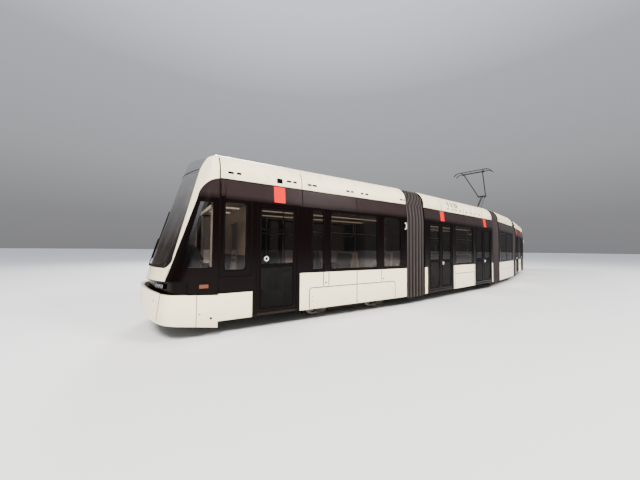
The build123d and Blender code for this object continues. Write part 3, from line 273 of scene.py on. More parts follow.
# %% [markdown]
# ## A finish and its nodes
# One method makes any node: its settings first, then its sockets' values or links. The others name what
# the finishes use most, and the last one ends the material.


# %% A finish and its nodes
class Finish:
    """A material under construction, with its shader's sockets set at the end."""

    def __init__(self, name):
        self.material = bpy.data.materials.new(name)
        self.material.use_nodes = True
        self.nodes = self.material.node_tree.nodes
        self.links = self.material.node_tree.links
        self.nodes.clear()
        self.output = self.nodes.new("ShaderNodeOutputMaterial")

    def add(self, kind, settings, sockets, out=0):
        """A node of this kind: its settings first, then the values or links of its sockets."""
        node = self.nodes.new(kind)
        for key, value in settings.items():
            setattr(node, key, value)
        for key, value in sockets.items():
            if isinstance(value, Socket):
                self.links.new(value.output, node.inputs[key])
            elif value is not None:
                node.inputs[key].default_value = value
        return Socket(self, node.outputs[out])

    def coords(self):
        return self.add("ShaderNodeTexCoord", {}, {}, "Object")

    def turned(self, section):
        """Object coordinates in a section's own frame."""
        return self.add("ShaderNodeMapping", {"vector_type": "TEXTURE"}, {
            "Vector": self.coords(), "Location": tuple(section.start), "Rotation": (0, 0, section.heading)})

    def axes(self, vector):
        """The x, y and z of a vector as three sockets."""
        node = self.add("ShaderNodeSeparateXYZ", {}, {0: vector}).output.node
        return [Socket(self, node.outputs[i]) for i in range(3)]

    def stretched(self, vector, scale):
        return self.add("ShaderNodeMapping", {}, {"Vector": vector, "Scale": scale})

    def noise(self, vector, scale, detail=3.0, roughness=0.55):
        return self.add("ShaderNodeTexNoise", {}, {
            "Vector": vector, "Scale": scale, "Detail": detail, "Roughness": roughness})

    def mix(self, factor, first, second):
        return self.add("ShaderNodeMix", {"data_type": "RGBA"}, {0: factor, 6: first, 7: second}, 2)

    def bump(self, height, strength, distance=0.001):
        return self.add("ShaderNodeBump", {}, {"Height": height, "Strength": strength, "Distance": distance})

    def surface(self, **sockets):
        """Ends the material in one principled shader; a key's underscores stand for spaces."""
        named = {key.replace("_", " "): value for key, value in sockets.items()}
        shader = self.add("ShaderNodeBsdfPrincipled", {}, named)
        self.links.new(shader.output, self.output.inputs["Surface"])
        return self.material


def colour(red, green, blue):
    """Linear colour of an sRGB one given as 0 to 255."""
    def linear(v):
        v /= 255.0
        return v / 12.92 if v <= 0.04045 else ((v + 0.055) / 1.055) ** 2.4
    return (linear(red), linear(green), linear(blue), 1.0)


print("a middle grey is", round(colour(128, 128, 128)[0], 3))

# %% [markdown]
# ## Paint
# The panels are warm cream under clear coat, the body's upper half is a black that leans to brown. Both
# get a fine orange peel, rain streaks that run down, and grime that thickens towards the sills. Above the
# windows the black is lightened by a painted sheen, a paler colour for the sky the leaning panels mirror.

# %% Paint
CREAM = colour(254, 238, 200)
BROWN_BLACK = colour(7, 2, 2)
# Painted sheen: the paler colour the black takes above the windows, for the sky the leaning panels mirror.
SKY_SHEEN_BLACK = colour(44, 35, 35)
GRIME = colour(112, 96, 82)
# The second height is where the painted sheen above the windows begins.
GRIME_TOP, SHEEN_FROM_Z = 0.75, 2.50


def paint(name, base, grime_amount, gloss, coat=0.6, mirror=0.5, painted_sheen=None):
    """Clear-coated paint; over the windows, where the body leans in, a painted sheen may lighten it."""
    finish = Finish(name)
    coords = finish.coords()
    x, y, z = finish.axes(coords)
    streaks = finish.noise(finish.stretched(coords, (5.0, 5.0, 0.35)), 3.0)
    patches = finish.noise(coords, 1.4, 5.0)
    low = ((GRIME_TOP - z) * 1.7).clamped()
    grime = (low * low * patches * 1.6 + (streaks - 0.58).clamped() * 0.5).clamped() * grime_amount
    peel = finish.noise(coords, 420.0, 2.0)
    if painted_sheen:
        # Painted sheen: above that height the black is lightened, unevenly with the patches, as if mirroring
        # the sky.
        over_windows = ((z - SHEEN_FROM_Z) * 8.0).clamped() * (patches * 0.5 + 0.45)
        base = finish.mix(over_windows, base, painted_sheen)
    return finish.surface(
        Base_Color=finish.mix(grime, base, GRIME), Roughness=grime * 0.5 + (patches * 0.08 + gloss),
        Coat_Weight=(1.0 - grime) * coat, Coat_Roughness=0.04, Specular_IOR_Level=mirror,
        Normal=finish.bump(peel, 0.04, 0.0004))


cream_paint = paint("cream_paint", CREAM, 0.35, 0.26)
# The black gets the painted sheen above the windows.
black_paint = paint("black_paint", BROWN_BLACK, 0.03, 0.2, coat=0.02, mirror=0.07, painted_sheen=SKY_SHEEN_BLACK)
print("paints", cream_paint.name, black_paint.name)

# %% [markdown]
# ## Glass
# Side panes are tinted, the doors' low panes most: what is behind them shows darkly, and they mirror
# more as the view grazes them. The driver's panes are nearly clear, and the windscreen has a sun
# coating, strongest at its top, that mirrors the sky at any angle. A transparent and a glossy shader are
# mixed by Fresnel's law. Only the doors' panes have an outer face between the two distances from the
# middle in DOOR_PANE_FACE, which tells them from the windows.

# %% Glass
SIDE_TINT = (0.47, 0.43, 0.40, 1.0)
CAB_TINT = (0.66, 0.62, 0.59, 1.0)
LOW_TINT = (0.15, 0.12, 0.10, 1.0)
BASE_MIRROR, GLASS_MIRROR, SUN_COATING = 0.005, 0.30, 0.62
LOW_PANE_TOP, LOW_PANE_MIRROR, DOOR_PANE_FACE = 1.24, 0.45, (1.306, 1.316)
COATING_FROM_Z, COATING_TO_Z = 1.6, 3.3
DRIVER_FROM_X, SCREEN_FROM_X, SCREEN_HALF = 4.9, 5.5, 1.30


def tinted_glass(name, section):
    """Tint by the pane's place, and a mirror's share from the viewing angle and the coating."""
    finish = Finish(name)
    x, y, z = finish.axes(finish.turned(section))
    out = y.math("ABSOLUTE")
    screen = (x > SCREEN_FROM_X) * (out < SCREEN_HALF)
    low_pane = (z < LOW_PANE_TOP) * (out > DOOR_PANE_FACE[0]) * (out < DOOR_PANE_FACE[1])
    tint = finish.mix(low_pane, SIDE_TINT, LOW_TINT)
    coating = BASE_MIRROR
    if section in CABS:
        tint = finish.mix((x > DRIVER_FROM_X) * (1.0 - screen), tint, CAB_TINT)
        strength = ((z - COATING_FROM_Z) / (COATING_TO_Z - COATING_FROM_Z)).clamped()
        coating = screen * (strength * SUN_COATING) + BASE_MIRROR
    clear = finish.add("ShaderNodeBsdfTransparent", {}, {"Color": tint})
    gloss = finish.add("ShaderNodeBsdfGlossy", {}, {"Color": (1.0, 1.0, 1.0, 1.0), "Roughness": 0.015})
    fresnel = finish.add("ShaderNodeFresnel", {}, {"IOR": 1.5})
    share = (fresnel * GLASS_MIRROR + coating) * (1.0 - low_pane * (1.0 - LOW_PANE_MIRROR))
    mixed = finish.add("ShaderNodeMixShader", {}, {0: share.clamped(), 1: clear, 2: gloss})
    finish.links.new(mixed.output, finish.output.inputs["Surface"])
    return finish.material


GLASS_FINISH = {s.prefix: tinted_glass("glass_" + s.prefix, s) for s in SECTIONS}
print("glass", len(GLASS_FINISH), "finishes")

# %% [markdown]
# ## Matt surfaces
# Window seals are matt rubber, frames under the floor are dull with brake dust, the floor is grey sheet,
# and the louvres on the roof are weathered paint. One formula serves them all: patches of dust over a
# base, and a grain that roughens it.


# %% Matt surfaces
def dull(name, base, dust, roughness, scale, bump, metallic=0.0, mirror=0.3):
    """A matt surface with patches of dust and a grain."""
    finish = Finish(name)
    coords = finish.coords()
    patches = finish.noise(coords, 3.0, 6.0)
    grain = finish.noise(coords, scale, 4.0)
    amount = ((patches - 0.42) * 2.2).clamped() * 0.6
    return finish.surface(
        Base_Color=finish.mix(amount, base, dust), Roughness=grain * 0.15 + roughness,
        Metallic=metallic, Specular_IOR_Level=mirror, Normal=finish.bump(grain, bump))


running_gear = dull("running_gear", colour(42, 38, 36), colour(96, 78, 64), 0.62, 60.0, 0.4)
# This dark rubber also serves as painted shade in the fairing's air slots and vents.
seal_rubber = dull("seal_rubber", colour(6, 5, 5), colour(13, 11, 10), 0.78, 180.0, 0.15, mirror=0.05)
floor_grey = dull("floor_grey", colour(44, 42, 42), colour(70, 64, 60), 0.7, 240.0, 0.3)
roof_grey = dull("roof_grey", colour(150, 150, 148), colour(112, 108, 100), 0.6, 80.0, 0.2)
pantograph_paint = dull(
    "pantograph_paint", colour(34, 31, 31), colour(58, 52, 50), 0.5, 70.0, 0.2, metallic=0.2)
print("matt", running_gear.name, seal_rubber.name, floor_grey.name, roof_grey.name, pantograph_paint.name)

# %% [markdown]
# ## Bellows cloth
# The bellows are coated fabric that is paler towards each fold's crest. How near the crest a point
# is comes with the mesh, as an attribute, so the paler tone follows the folds wherever they run.


# %% Bellows cloth
def bellows_cloth():
    """Dark cloth, paler towards the crests by a power of the crest attribute, broken up by dirt."""
    finish = Finish("bellows_cloth")
    coords = finish.coords()
    crest = finish.add("ShaderNodeAttribute", {"attribute_name": "crest"}, {}, "Fac")
    weave = finish.noise(finish.stretched(coords, (1.0, 1.0, 0.25)), 260.0, 2.0)
    dirt = finish.noise(coords, 2.5, 5.0)
    pale = (crest.math("POWER", 6.0) * (dirt * 0.7 + 0.55)).clamped()
    return finish.surface(
        Base_Color=finish.mix(pale, colour(6, 3, 3), colour(62, 52, 50)), Roughness=dirt * 0.2 + 0.6,
        Specular_IOR_Level=0.25, Normal=finish.bump(weave, 0.3))


bellows_rubber = bellows_cloth()
print("cloth", bellows_rubber.name)

# %% [markdown]
# ## Steel, plastic and lamps
# A wheel is bare steel with brown patches of rust. Small parts are smooth plastic or metal: handling
# marks break their gloss, and the ceiling's lights glow a little of their own.


# %% Steel, plastic and lamps
def wheel_steel():
    """Bare steel in which a noise mixes bright and rusted patches."""
    finish = Finish("wheel_steel")
    coords = finish.coords()
    rust = finish.noise(coords, 18.0, 6.0)
    return finish.surface(
        Base_Color=finish.mix(((rust - 0.35) * 2.0).clamped(), colour(120, 116, 112), colour(88, 66, 52)),
        Metallic=0.85, Roughness=rust * 0.3 + 0.3, Normal=finish.bump(rust, 0.2))


def plain(name, base, roughness, wear, metallic=0.0, glow=0.0):
    """Smooth plastic or metal whose gloss is broken by handling marks and whose colour is a little uneven."""
    finish = Finish(name)
    coords = finish.coords()
    marks = finish.noise(coords, 35.0, 5.0)
    tone = finish.mix((marks * wear).clamped(), base, GRIME)
    return finish.surface(
        Base_Color=tone, Roughness=marks * 0.18 + roughness, Metallic=metallic, Emission_Color=base,
        Emission_Strength=glow, Normal=finish.bump(finish.noise(coords, 300.0, 2.0), 0.05))


wheel_finish = wheel_steel()
red_panel = dull("red_panel", colour(206, 14, 12), colour(190, 24, 20), 0.5, 160.0, 0.05, mirror=0.08)
orange_marker = plain("orange_marker", colour(96, 38, 8), 0.25, 0.15)
white_plastic = plain("white_plastic", colour(232, 230, 226), 0.35, 0.12)
tread_steel = plain("tread_steel", colour(26, 22, 21), 0.55, 0.2, metallic=0.8)
lamp_chrome = plain("lamp_chrome", colour(96, 98, 102), 0.2, 0.08, metallic=1.0)
lamp_lens = plain("lamp_lens", colour(70, 74, 78), 0.08, 0.04)
light_strip = plain("light_strip", colour(255, 246, 228), 0.5, 0.02, glow=0.9)
handrail = plain("handrail", colour(206, 206, 204), 0.28, 0.15, metallic=0.9)
desk_grey = plain("desk_grey", colour(40, 42, 52), 0.5, 0.12)
roof_wire = plain("roof_wire", colour(88, 88, 86), 0.5, 0.4, metallic=0.6)
porcelain = plain("porcelain", colour(112, 60, 40), 0.12, 0.18)
copper_braid = plain("copper_braid", colour(150, 92, 60), 0.5, 0.4, metallic=0.9)
carbon = plain("carbon", colour(34, 34, 36), 0.45, 0.2)
print("small finishes made")

# %% [markdown]
# ## Two colours on one node
# The roof is one solid, but its casings are grey between cream fairings, and what the driver uses is
# darker than the passengers' part. A mask of the place in the section's own frame mixes the two colours.

# %% Two colours on one node
ROOF_UNIT_HALF, ROOF_UNIT_FOOT = 0.93, 2.955
DRIVER_PLACE_X, DRIVER_PLACE_TOP = 4.8, 1.45
CASING_GREY = colour(150, 150, 148)
INSIDE_PALE, INSIDE_DARK = colour(196, 190, 178), colour(46, 48, 54)


def by_place(name, section, base, other, inside, roughness, grain_scale):
    """A matt finish in two colours; inside(x, y, z) is the mask of the second, in the section's frame."""
    finish = Finish(name)
    place = finish.turned(section)
    mask = inside(*finish.axes(place)).clamped()
    patches = finish.noise(place, 3.0, 5.0)
    grain = finish.noise(place, grain_scale, 4.0)
    tone = finish.mix(mask, base, other)
    return finish.surface(
        Base_Color=finish.mix((patches - 0.45).clamped() * 0.8, tone, GRIME),
        Roughness=grain * 0.12 + roughness + mask * 0.1, Normal=finish.bump(grain, 0.15))


def on_roof_unit(x, y, z):
    """Casing between the fairings: near the middle and above the slab."""
    return (y.math("ABSOLUTE") < ROOF_UNIT_HALF) * (z > ROOF_UNIT_FOOT)


def at_driver(x, y, z):
    """The driver's desk and seat, ahead of the cab's partition and below the window."""
    return (x > DRIVER_PLACE_X) * (z < DRIVER_PLACE_TOP)


ROOF_FINISH, INSIDE_FINISH = {}, {}
for section in SECTIONS:
    ROOF_FINISH[section.prefix] = by_place(
        "roof_paint_" + section.prefix, section, CREAM, CASING_GREY, on_roof_unit, 0.34, 120.0)
    INSIDE_FINISH[section.prefix] = by_place(
        "inside_" + section.prefix, section, INSIDE_PALE, INSIDE_DARK, at_driver, 0.5, 90.0)
print("roof and inside finishes", len(ROOF_FINISH))

# %% [markdown]
# ## Surfaces from arrays
# Every new piece is one or more grids of points. A grid is worked out as a whole array, and its quads
# follow from the numbering alone. Pieces are closed, so their faces can be turned outwards at the end.


# %% Grids into pieces
def grid_faces(rows, columns, around=False, ends=False):
    """Quads of a grid numbered row by row; around joins the last column to the first, ends adds caps."""
    r = np.arange(rows - 1)[:, None] * columns
    c = np.arange(columns if around else columns - 1)[None, :]
    after = (c + 1) % columns
    quads = np.stack([r + c, r + after, r + columns + after, r + columns + c], axis=-1)
    quads = quads.reshape(-1, 4).tolist()
    caps = [list(range(columns)), list(range((rows - 1) * columns, rows * columns))] if ends else []
    return quads + caps


def make_piece(name, grids, material, body, smooth=35.0):
    """A mesh of several closed grids, each (points, around, ends), riding on a body."""
    points, faces, first = [], [], 0
    for grid, around, ends in grids:
        rows, columns = grid.shape[:2]
        faces += [[first + i for i in face] for face in grid_faces(rows, columns, around, ends)]
        points.append(grid.reshape(-1, 3))
        first += rows * columns
    mesh = bpy.data.meshes.new(name)
    mesh.from_pydata(np.concatenate(points).tolist(), [], faces)
    shell = bmesh.new()
    shell.from_mesh(mesh)
    bmesh.ops.remove_doubles(shell, verts=shell.verts, dist=1e-5)
    bmesh.ops.recalc_face_normals(shell, faces=shell.faces)
    shell.to_mesh(mesh)
    shell.free()
    mesh.shade_smooth()
    mesh.set_sharp_from_angle(angle=math.radians(smooth))
    piece = bpy.data.objects.new(name, mesh)
    piece.data.materials.append(material)
    bpy.context.scene.collection.objects.link(piece)
    if body:
        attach(piece, body)
    return piece


print("a grid of 3 rows and 4 columns has", len(grid_faces(3, 4)), "quads")

# %% [markdown]
# ## Three ways to a shape
# Most trim is a profile carried straight, a profile turned about an axis, or a tube along a path. Each is
# one array of points, worked out at once. Paths bend in arcs, and bolts stand in circles.


# %% Three ways to a shape
def extruded(profile, start, end, axis=0):
    """A closed profile carried straight along one axis; it holds the other two coordinates in order."""
    profile = np.asarray(profile, float)
    return np.stack([np.insert(profile, axis, at, axis=1) for at in (start, end)]), True, True


def turned_shape(profile, centre, axis, turns=24):
    """A (radius, height) profile turned about an axis through centre; it closes at both poles."""
    axis = np.asarray(axis, float) / np.linalg.norm(axis)
    first = np.cross(axis, UP if abs(axis[2]) < 0.9 else [1.0, 0.0, 0.0])
    first /= np.linalg.norm(first)
    second = np.cross(axis, first)
    angle = np.linspace(0.0, 2.0 * math.pi, turns, endpoint=False)
    round_ = np.cos(angle)[:, None] * first + np.sin(angle)[:, None] * second
    radius, height = np.asarray(profile, float).T[..., None, None]
    return radius * round_[None] + height * axis + np.asarray(centre, float), True, False


def round_bar(path, radius, turns=10, about=None):
    """A tube along a path; each ring stands square to the path's direction there.

    Rings are counted from the direction about, or else from the normal of the plane nearest the path."""
    path = np.asarray(path, float)
    along = np.gradient(path, axis=0)
    along /= np.linalg.norm(along, axis=1, keepdims=True)
    about = np.linalg.svd(path - path.mean(axis=0))[2][2] if about is None else about
    first = np.cross(along, about)
    first /= np.linalg.norm(first, axis=1, keepdims=True)
    second = np.cross(along, first)
    angle = np.linspace(0.0, 2.0 * math.pi, turns, endpoint=False)[None, :, None]
    ring = np.cos(angle) * first[:, None] + np.sin(angle) * second[:, None]
    return path[:, None] + radius * ring, True, True


def arc(centre, radius, start, end, steps):
    """Points of a circle's arc between two angles in degrees, turned from the first axis to the second."""
    angle = np.radians(np.linspace(start, end, steps))
    return np.asarray(centre) + radius * np.stack([np.cos(angle), np.sin(angle)], axis=-1)


def bolt_circle(profile, centre, radius, count, first=0.0):
    """Six-sided heads of one profile, set round a circle that faces across the tram."""
    angle = np.arange(count) * 2.0 * math.pi / count + first
    spots = np.asarray(centre) + radius * np.stack([np.cos(angle), 0.0 * angle, np.sin(angle)], axis=-1)
    return [turned_shape(profile, spot, ACROSS, 6) for spot in spots]


print("a square carried 1 m is a grid of", extruded([(0, 0), (1, 0), (1, 1), (0, 1)], 0.0, 1.0)[0].shape)

# %% [markdown]
# ## From one side to every section
# A piece is drawn once, on the left side of a section and in that section's frame. It gets its mirror
# image, is carried to the row's frame, and rides on the section's body. What the CAD has already placed,
# such as a pane, is read from its node and not written again.


# %% From one side to every section
def in_section(section, grids):
    """The same grids carried from a section's frame to the row's."""
    return [(section.place(grid), around, ends) for grid, around, ends in grids]


def mirrored(grids):
    """The grids and their mirror images on the other side of the tram."""
    return grids + [(grid * [1.0, -1.0, 1.0], around, ends) for grid, around, ends in grids]


def fit(section, kind, grids, material, both_sides=True, smooth=35.0):
    """A piece of a section from grids in its own frame, with their mirror images for both sides."""
    carried = in_section(section, mirrored(grids) if both_sides else grids)
    return make_piece(section.prefix + "_" + kind, carried, material, section.body, smooth)


def islands(section, kind):
    """The separate solids of a CAD node, each as its points in the section's own frame.

    Points that share a place are one, and each takes the lowest number among those it is joined to
    until nothing changes: solids that touch nowhere end with different numbers."""
    node = frame["nodes"][section.prefix + "_" + kind]
    points = np.empty(3 * len(node.data.vertices))
    node.data.vertices.foreach_get("co", points)
    edges = np.empty(2 * len(node.data.edges), int)
    node.data.edges.foreach_get("vertices", edges)
    points, same = np.unique(np.round(points.reshape(-1, 3), 5), axis=0, return_inverse=True)
    a, b = same.ravel()[edges].reshape(-1, 2).T
    label, before = np.arange(len(points)), None
    while before is None or (label != before).any():
        before = label.copy()
        low = np.minimum(label[a], label[b])
        np.minimum.at(label, a, low)
        np.minimum.at(label, b, low)
        label = label[label]
    local = points - section.start
    local = np.stack([local @ section.along, local @ section.across, local[:, 2]], axis=-1)
    return [local[label == n] for n in np.unique(label)]


def box_of(points):
    """Lowest and highest corner of the box round some points."""
    return points.min(axis=0), points.max(axis=0)


print("glass pieces", {s.prefix: len(islands(s, "glass")) for s in SECTIONS})

# %% [markdown]
# ## Skin of the body
# Trim sits on the side's outer face. Its profile is upright up to the windows' top, leans in over them,
# and ends in the roof fairing's arc, so a thin piece of trim is a strip of that profile given thickness.

# %% Skin of the body
HALF_WIDTH = float(max(abs(p[:, 1]).max() for p in islands(middle, "skirts")))
CANT_START, CANT_TOP, CANT_LEAN = 2.52, 2.90, 0.05
FAIRING_VIA, FAIRING_CREST = (1.180, 3.265), (0.950, 3.430)
STRIP_STEP = 0.06


def circle_through(a, b, c):
    """Centre and radius of the circle through three points."""
    a, b, c = (np.asarray(p, float) for p in (a, b, c))
    sides = 2.0 * np.stack([b - a, c - a])
    centre = np.linalg.solve(sides, np.array([b @ b - a @ a, c @ c - a @ a]))
    return centre, float(np.linalg.norm(a - centre))


FAIRING_FOOT = (HALF_WIDTH - CANT_LEAN, CANT_TOP)
fairing_centre, fairing_radius = circle_through(FAIRING_FOOT, FAIRING_VIA, FAIRING_CREST)


def skin_y(z):
    """How far out the side's skin is at height z: wall, then lean, then fairing arc."""
    z = np.asarray(z, float)
    lean = HALF_WIDTH - CANT_LEAN * np.clip((z - CANT_START) / (CANT_TOP - CANT_START), 0.0, 1.0)
    fairing = np.sqrt(np.maximum(fairing_radius ** 2 - (z - fairing_centre[1]) ** 2, 0.0)) + fairing_centre[0]
    return np.where(z > CANT_TOP, fairing, lean)


def skin_strip(x0, x1, z0, z1, proud=0.003, sunk=0.004):
    """Closed plate on the skin: its outer face is proud of it, its inner face sunk in it."""
    z = np.linspace(z0, z1, 2 + int((z1 - z0) / STRIP_STEP) if z1 > CANT_START else 2)
    outer = np.stack([skin_y(z) + proud, z], axis=-1)
    inner = np.stack([skin_y(z) - sunk, z], axis=-1)
    return extruded(np.concatenate([outer, inner[::-1]]), x0, x1)


def skin_disc(x, z, radius, proud=0.004):
    """Domed head of a latch or screw on the skin."""
    profile = [(0.0, -0.003), (radius, -0.003), (radius, 0.5 * proud), (0.6 * radius, proud), (0.0, proud)]
    return turned_shape(profile, (x, float(skin_y(z)), z), ACROSS, 16)


print("half width", round(HALF_WIDTH, 3), "fairing radius", round(fairing_radius, 3))

# %% [markdown]
# ## Windows and doors in their seals
# Each pane is held by a black rubber seal, a soft strip that laps over the glass and the panel. The panes'
# places are read from the CAD node. A seal is a small profile carried round a rounded rectangle: straight
# runs and quarter circles, with the outward direction at each point telling the profile where to go.

# %% Panes and seals
PANE_DEPTH, PANE_THICK, WINDOW_TOP_FROM_Z = 0.05, 0.03, 2.44
WINDOW_CORNER, DOOR_CORNER = 0.07, 0.035
MIDDLE_FLUSH = 0.003
WINDOW_SEAL = [(-0.012, -0.009), (-0.012, -0.003), (-0.004, 0.003), (0.010, 0.003), (0.016, 0.0),
               (0.016, -0.009)]
DOOR_SEAL = [(-0.020, -0.016), (-0.020, -0.008), (-0.008, -0.003), (0.012, -0.003), (0.018, -0.010),
             (0.018, -0.016)]


def rounded_loop(x0, x1, z0, z1, radius, steps=8):
    """Points (x, z) round a rectangle with quarter-circle corners, and the outward direction at each."""
    corners = np.array([[x1 - radius, z1 - radius], [x0 + radius, z1 - radius],
                        [x0 + radius, z0 + radius], [x1 - radius, z0 + radius]])
    angle = np.linspace(0.0, 0.5 * math.pi, steps)[None] + 0.5 * math.pi * np.arange(4)[:, None]
    out = np.stack([np.cos(angle), np.sin(angle)], axis=-1).reshape(-1, 2)
    return np.repeat(corners, steps, axis=0) + radius * out, out


def seal(x0, x1, z0, z1, radius, profile, y):
    """Profile (outward, proud) carried round a pane; y is the skin that proud is counted from."""
    points, out = rounded_loop(x0, x1, z0, z1, radius)
    points, out = np.vstack([points, points[:1]]), np.vstack([out, out[:1]])
    profile = np.asarray(profile)
    grid = np.empty((len(points), len(profile), 3))
    grid[..., 0] = points[:, None, 0] + out[:, None, 0] * profile[None, :, 0]
    grid[..., 1] = y + profile[None, :, 1]
    grid[..., 2] = points[:, None, 1] + out[:, None, 1] * profile[None, :, 0]
    return grid, True, False


def side_panes(section):
    """Left side's flat panes as boxes (x0, x1, z0, z1): windows, then door panes."""
    windows, door_panes = [], []
    for points in islands(section, "glass"):
        low, high = box_of(points)
        if low[1] > HALF_WIDTH - PANE_DEPTH and high[1] - low[1] < PANE_THICK:
            row = windows if high[2] > WINDOW_TOP_FROM_Z else door_panes
            row.append((low[0], high[0], low[2], high[2]))
    return windows, door_panes


for section in SECTIONS:
    windows, door_panes = side_panes(section)
    skin = HALF_WIDTH - (MIDDLE_FLUSH if section is middle else 0.0)
    seals = [seal(*pane, WINDOW_CORNER, WINDOW_SEAL, skin) for pane in windows]
    seals += [seal(*pane, DOOR_CORNER, DOOR_SEAL, HALF_WIDTH) for pane in door_panes]
    fit(section, "seals", seals, seal_rubber)
    print(section.prefix, "windows", len(windows), "door panes", len(door_panes))

# %% [markdown]
# ## Doors
# A plug door's leaves lie just behind the skin. Rubber fills the gap round them and between two leaves.
# Each doorway has a ring-shaped push button on the leaf, a steel tread on its sill, and above it the red
# rectangle that marks the door from afar. A cab section has one single door, a hanging one two doubles.

# %% Doors
DOOR_GAP, DOORWAY_CORNER, PORTAL_DEPTH = 0.08, 0.03, 0.05
LEAF_FACE = -0.010
RED_PANEL_WIDTH, RED_PANEL_Z = 0.25, (2.545, 2.885)
CAB_RED_PANELS, HANGING_RED_PANELS = (4.275,), (1.14, 4.505)
SINGLE_BUTTON_IN, DOUBLE_BUTTON_IN, BUTTON_SUNK = 0.20, 0.12, 0.002
CAB_BUTTON_Z, HANGING_BUTTON_Z = 1.39, 1.17
TREAD_IN, TREAD_LOW, TREAD_HIGH, TREAD_PROUD = 0.10, 0.018, 0.052, 0.006
BUTTON_RING = [(0.030, -0.002), (0.047, -0.002), (0.049, 0.006), (0.045, 0.012), (0.034, 0.012),
               (0.030, 0.006), (0.030, -0.002)]
BUTTON_FACE = [(0.0, -0.002), (0.031, -0.002), (0.031, 0.005), (0.020, 0.009), (0.0, 0.010)]
DOOR_EDGE = [(-0.014, -0.030), (-0.014, LEAF_FACE + 0.004), (0.010, LEAF_FACE + 0.006), (0.018, 0.002),
             (0.018, -0.030)]
LEAF_LIPS = [(-0.022, -0.012), (-0.016, 0.002), (-0.002, 0.002), (0.0, -0.003), (0.002, 0.002),
             (0.016, 0.002), (0.022, -0.012)]
LIPS_SHORT = 0.01


def door_ways(section):
    """Left side's doorways as (x0, x1, z0, z1), with their leaves' edges."""
    portals, leaves = [], []
    for points in islands(section, "doors"):
        low, high = box_of(points)
        if low[1] > 0.0:
            row = portals if high[1] - low[1] > PORTAL_DEPTH else leaves
            row.append((low[0], high[0], low[2], high[2]))
    return sorted(portals), sorted(leaves)


def door_rubber(portal, leaves):
    """Edge rubber round a doorway, and a pair of soft lips where two leaves meet."""
    x0, x1 = portal[0] + DOOR_GAP, portal[1] - DOOR_GAP
    rubber = [seal(x0, x1, leaves[0][2], leaves[0][3], DOORWAY_CORNER, DOOR_EDGE, HALF_WIDTH)]
    for leaf in leaves[1:]:
        lips = np.array(LEAF_LIPS) + [leaf[0], HALF_WIDTH + LEAF_FACE]
        rubber.append(extruded(lips, leaf[2] + LIPS_SHORT, leaf[3] - LIPS_SHORT, axis=2))
    return rubber


for section in CABS + HANGING:
    portals, leaves = door_ways(section)
    panel_x = CAB_RED_PANELS if section in CABS else HANGING_RED_PANELS
    button_z = CAB_BUTTON_Z if section in CABS else HANGING_BUTTON_Z
    red = [skin_strip(x - RED_PANEL_WIDTH / 2, x + RED_PANEL_WIDTH / 2, *RED_PANEL_Z) for x in panel_x]
    rubber, rings, faces, treads = [], [], [], []
    for x0, x1, z0, z1 in portals:
        own = [leaf for leaf in leaves if x0 < leaf[0] and leaf[1] < x1]
        rubber += door_rubber((x0, x1), own)
        button_x = own[0][1] - (SINGLE_BUTTON_IN if len(own) == 1 else DOUBLE_BUTTON_IN)
        spot = (button_x, HALF_WIDTH + LEAF_FACE - BUTTON_SUNK, button_z)
        rings.append(turned_shape(BUTTON_RING, spot, ACROSS, 28))
        faces.append(turned_shape(BUTTON_FACE, spot, ACROSS, 20))
        treads.append(skin_strip(x0 + TREAD_IN, x1 - TREAD_IN, z0 + TREAD_LOW, z0 + TREAD_HIGH, TREAD_PROUD))
    fit(section, "door_rubber", rubber, seal_rubber)
    fit(section, "door_marks", red, red_panel)
    fit(section, "button_rings", rings, white_plastic)
    fit(section, "button_faces", faces, seal_rubber)
    fit(section, "door_treads", treads, tread_steel)
    print(section.prefix, "doorways each side", len(portals))

# %% [markdown]
# ## Joints of the panels
# Panels meet in rubbered gaps that look like dark lines, the widest behind the moulded nose. In the
# fairing are short slots and vents that let air to the roof's equipment; their dark strips are painted
# shade, standing for the openings' shadowed inside. The tables give each one's place on the section's
# side, and all of them are strips of the skin's profile. An upright joint is (x, low, high), a level one or
# a slot is (x0, x1, height), a vent is (x, low, high), and a latch or screw is (x, height).

# %% Joints of the panels
LINE, SLOT_HALF, VENT_HALF, NOSE_SEAM_HALF = 0.019, 0.022, 0.036, 0.012
LINE_PROUD, SLOT_PROUD, MIDDLE_LINE_SUNK = 0.0012, 0.002, 0.001
SKIRT_LOW, SKIRT_TOP, BAND_LOW, BAND_TOP, FAIRING_TOP = 0.28, 1.065, 2.545, 2.895, 3.425
CAB_SEAM_X = 5.46
CAB_UPRIGHTS = [(3.745, CANT_TOP, FAIRING_TOP), (3.735, BAND_LOW, BAND_TOP), (2.20, 2.47, BAND_TOP),
                (3.19, 0.76, SKIRT_TOP), (3.04, 0.76, SKIRT_TOP), (1.36, 0.76, SKIRT_TOP),
                (2.20, SKIRT_LOW, SKIRT_TOP), (4.862, 1.07, 2.515), (CAB_SEAM_X, 0.765, CANT_START),
                (CAB_SEAM_X, CANT_START, BAND_TOP), (CAB_SEAM_X, CANT_TOP, FAIRING_TOP)]
CAB_LEVELS = [(4.865, 5.455, 1.066), (4.865, 5.455, 2.515), (0.385, 5.455, 2.899)]
CAB_HATCH, MIDDLE_HATCH = (0.849, 3.551), (-1.351, 1.351)
HATCH_TOP, HATCH_CORNER = 0.736, 0.07
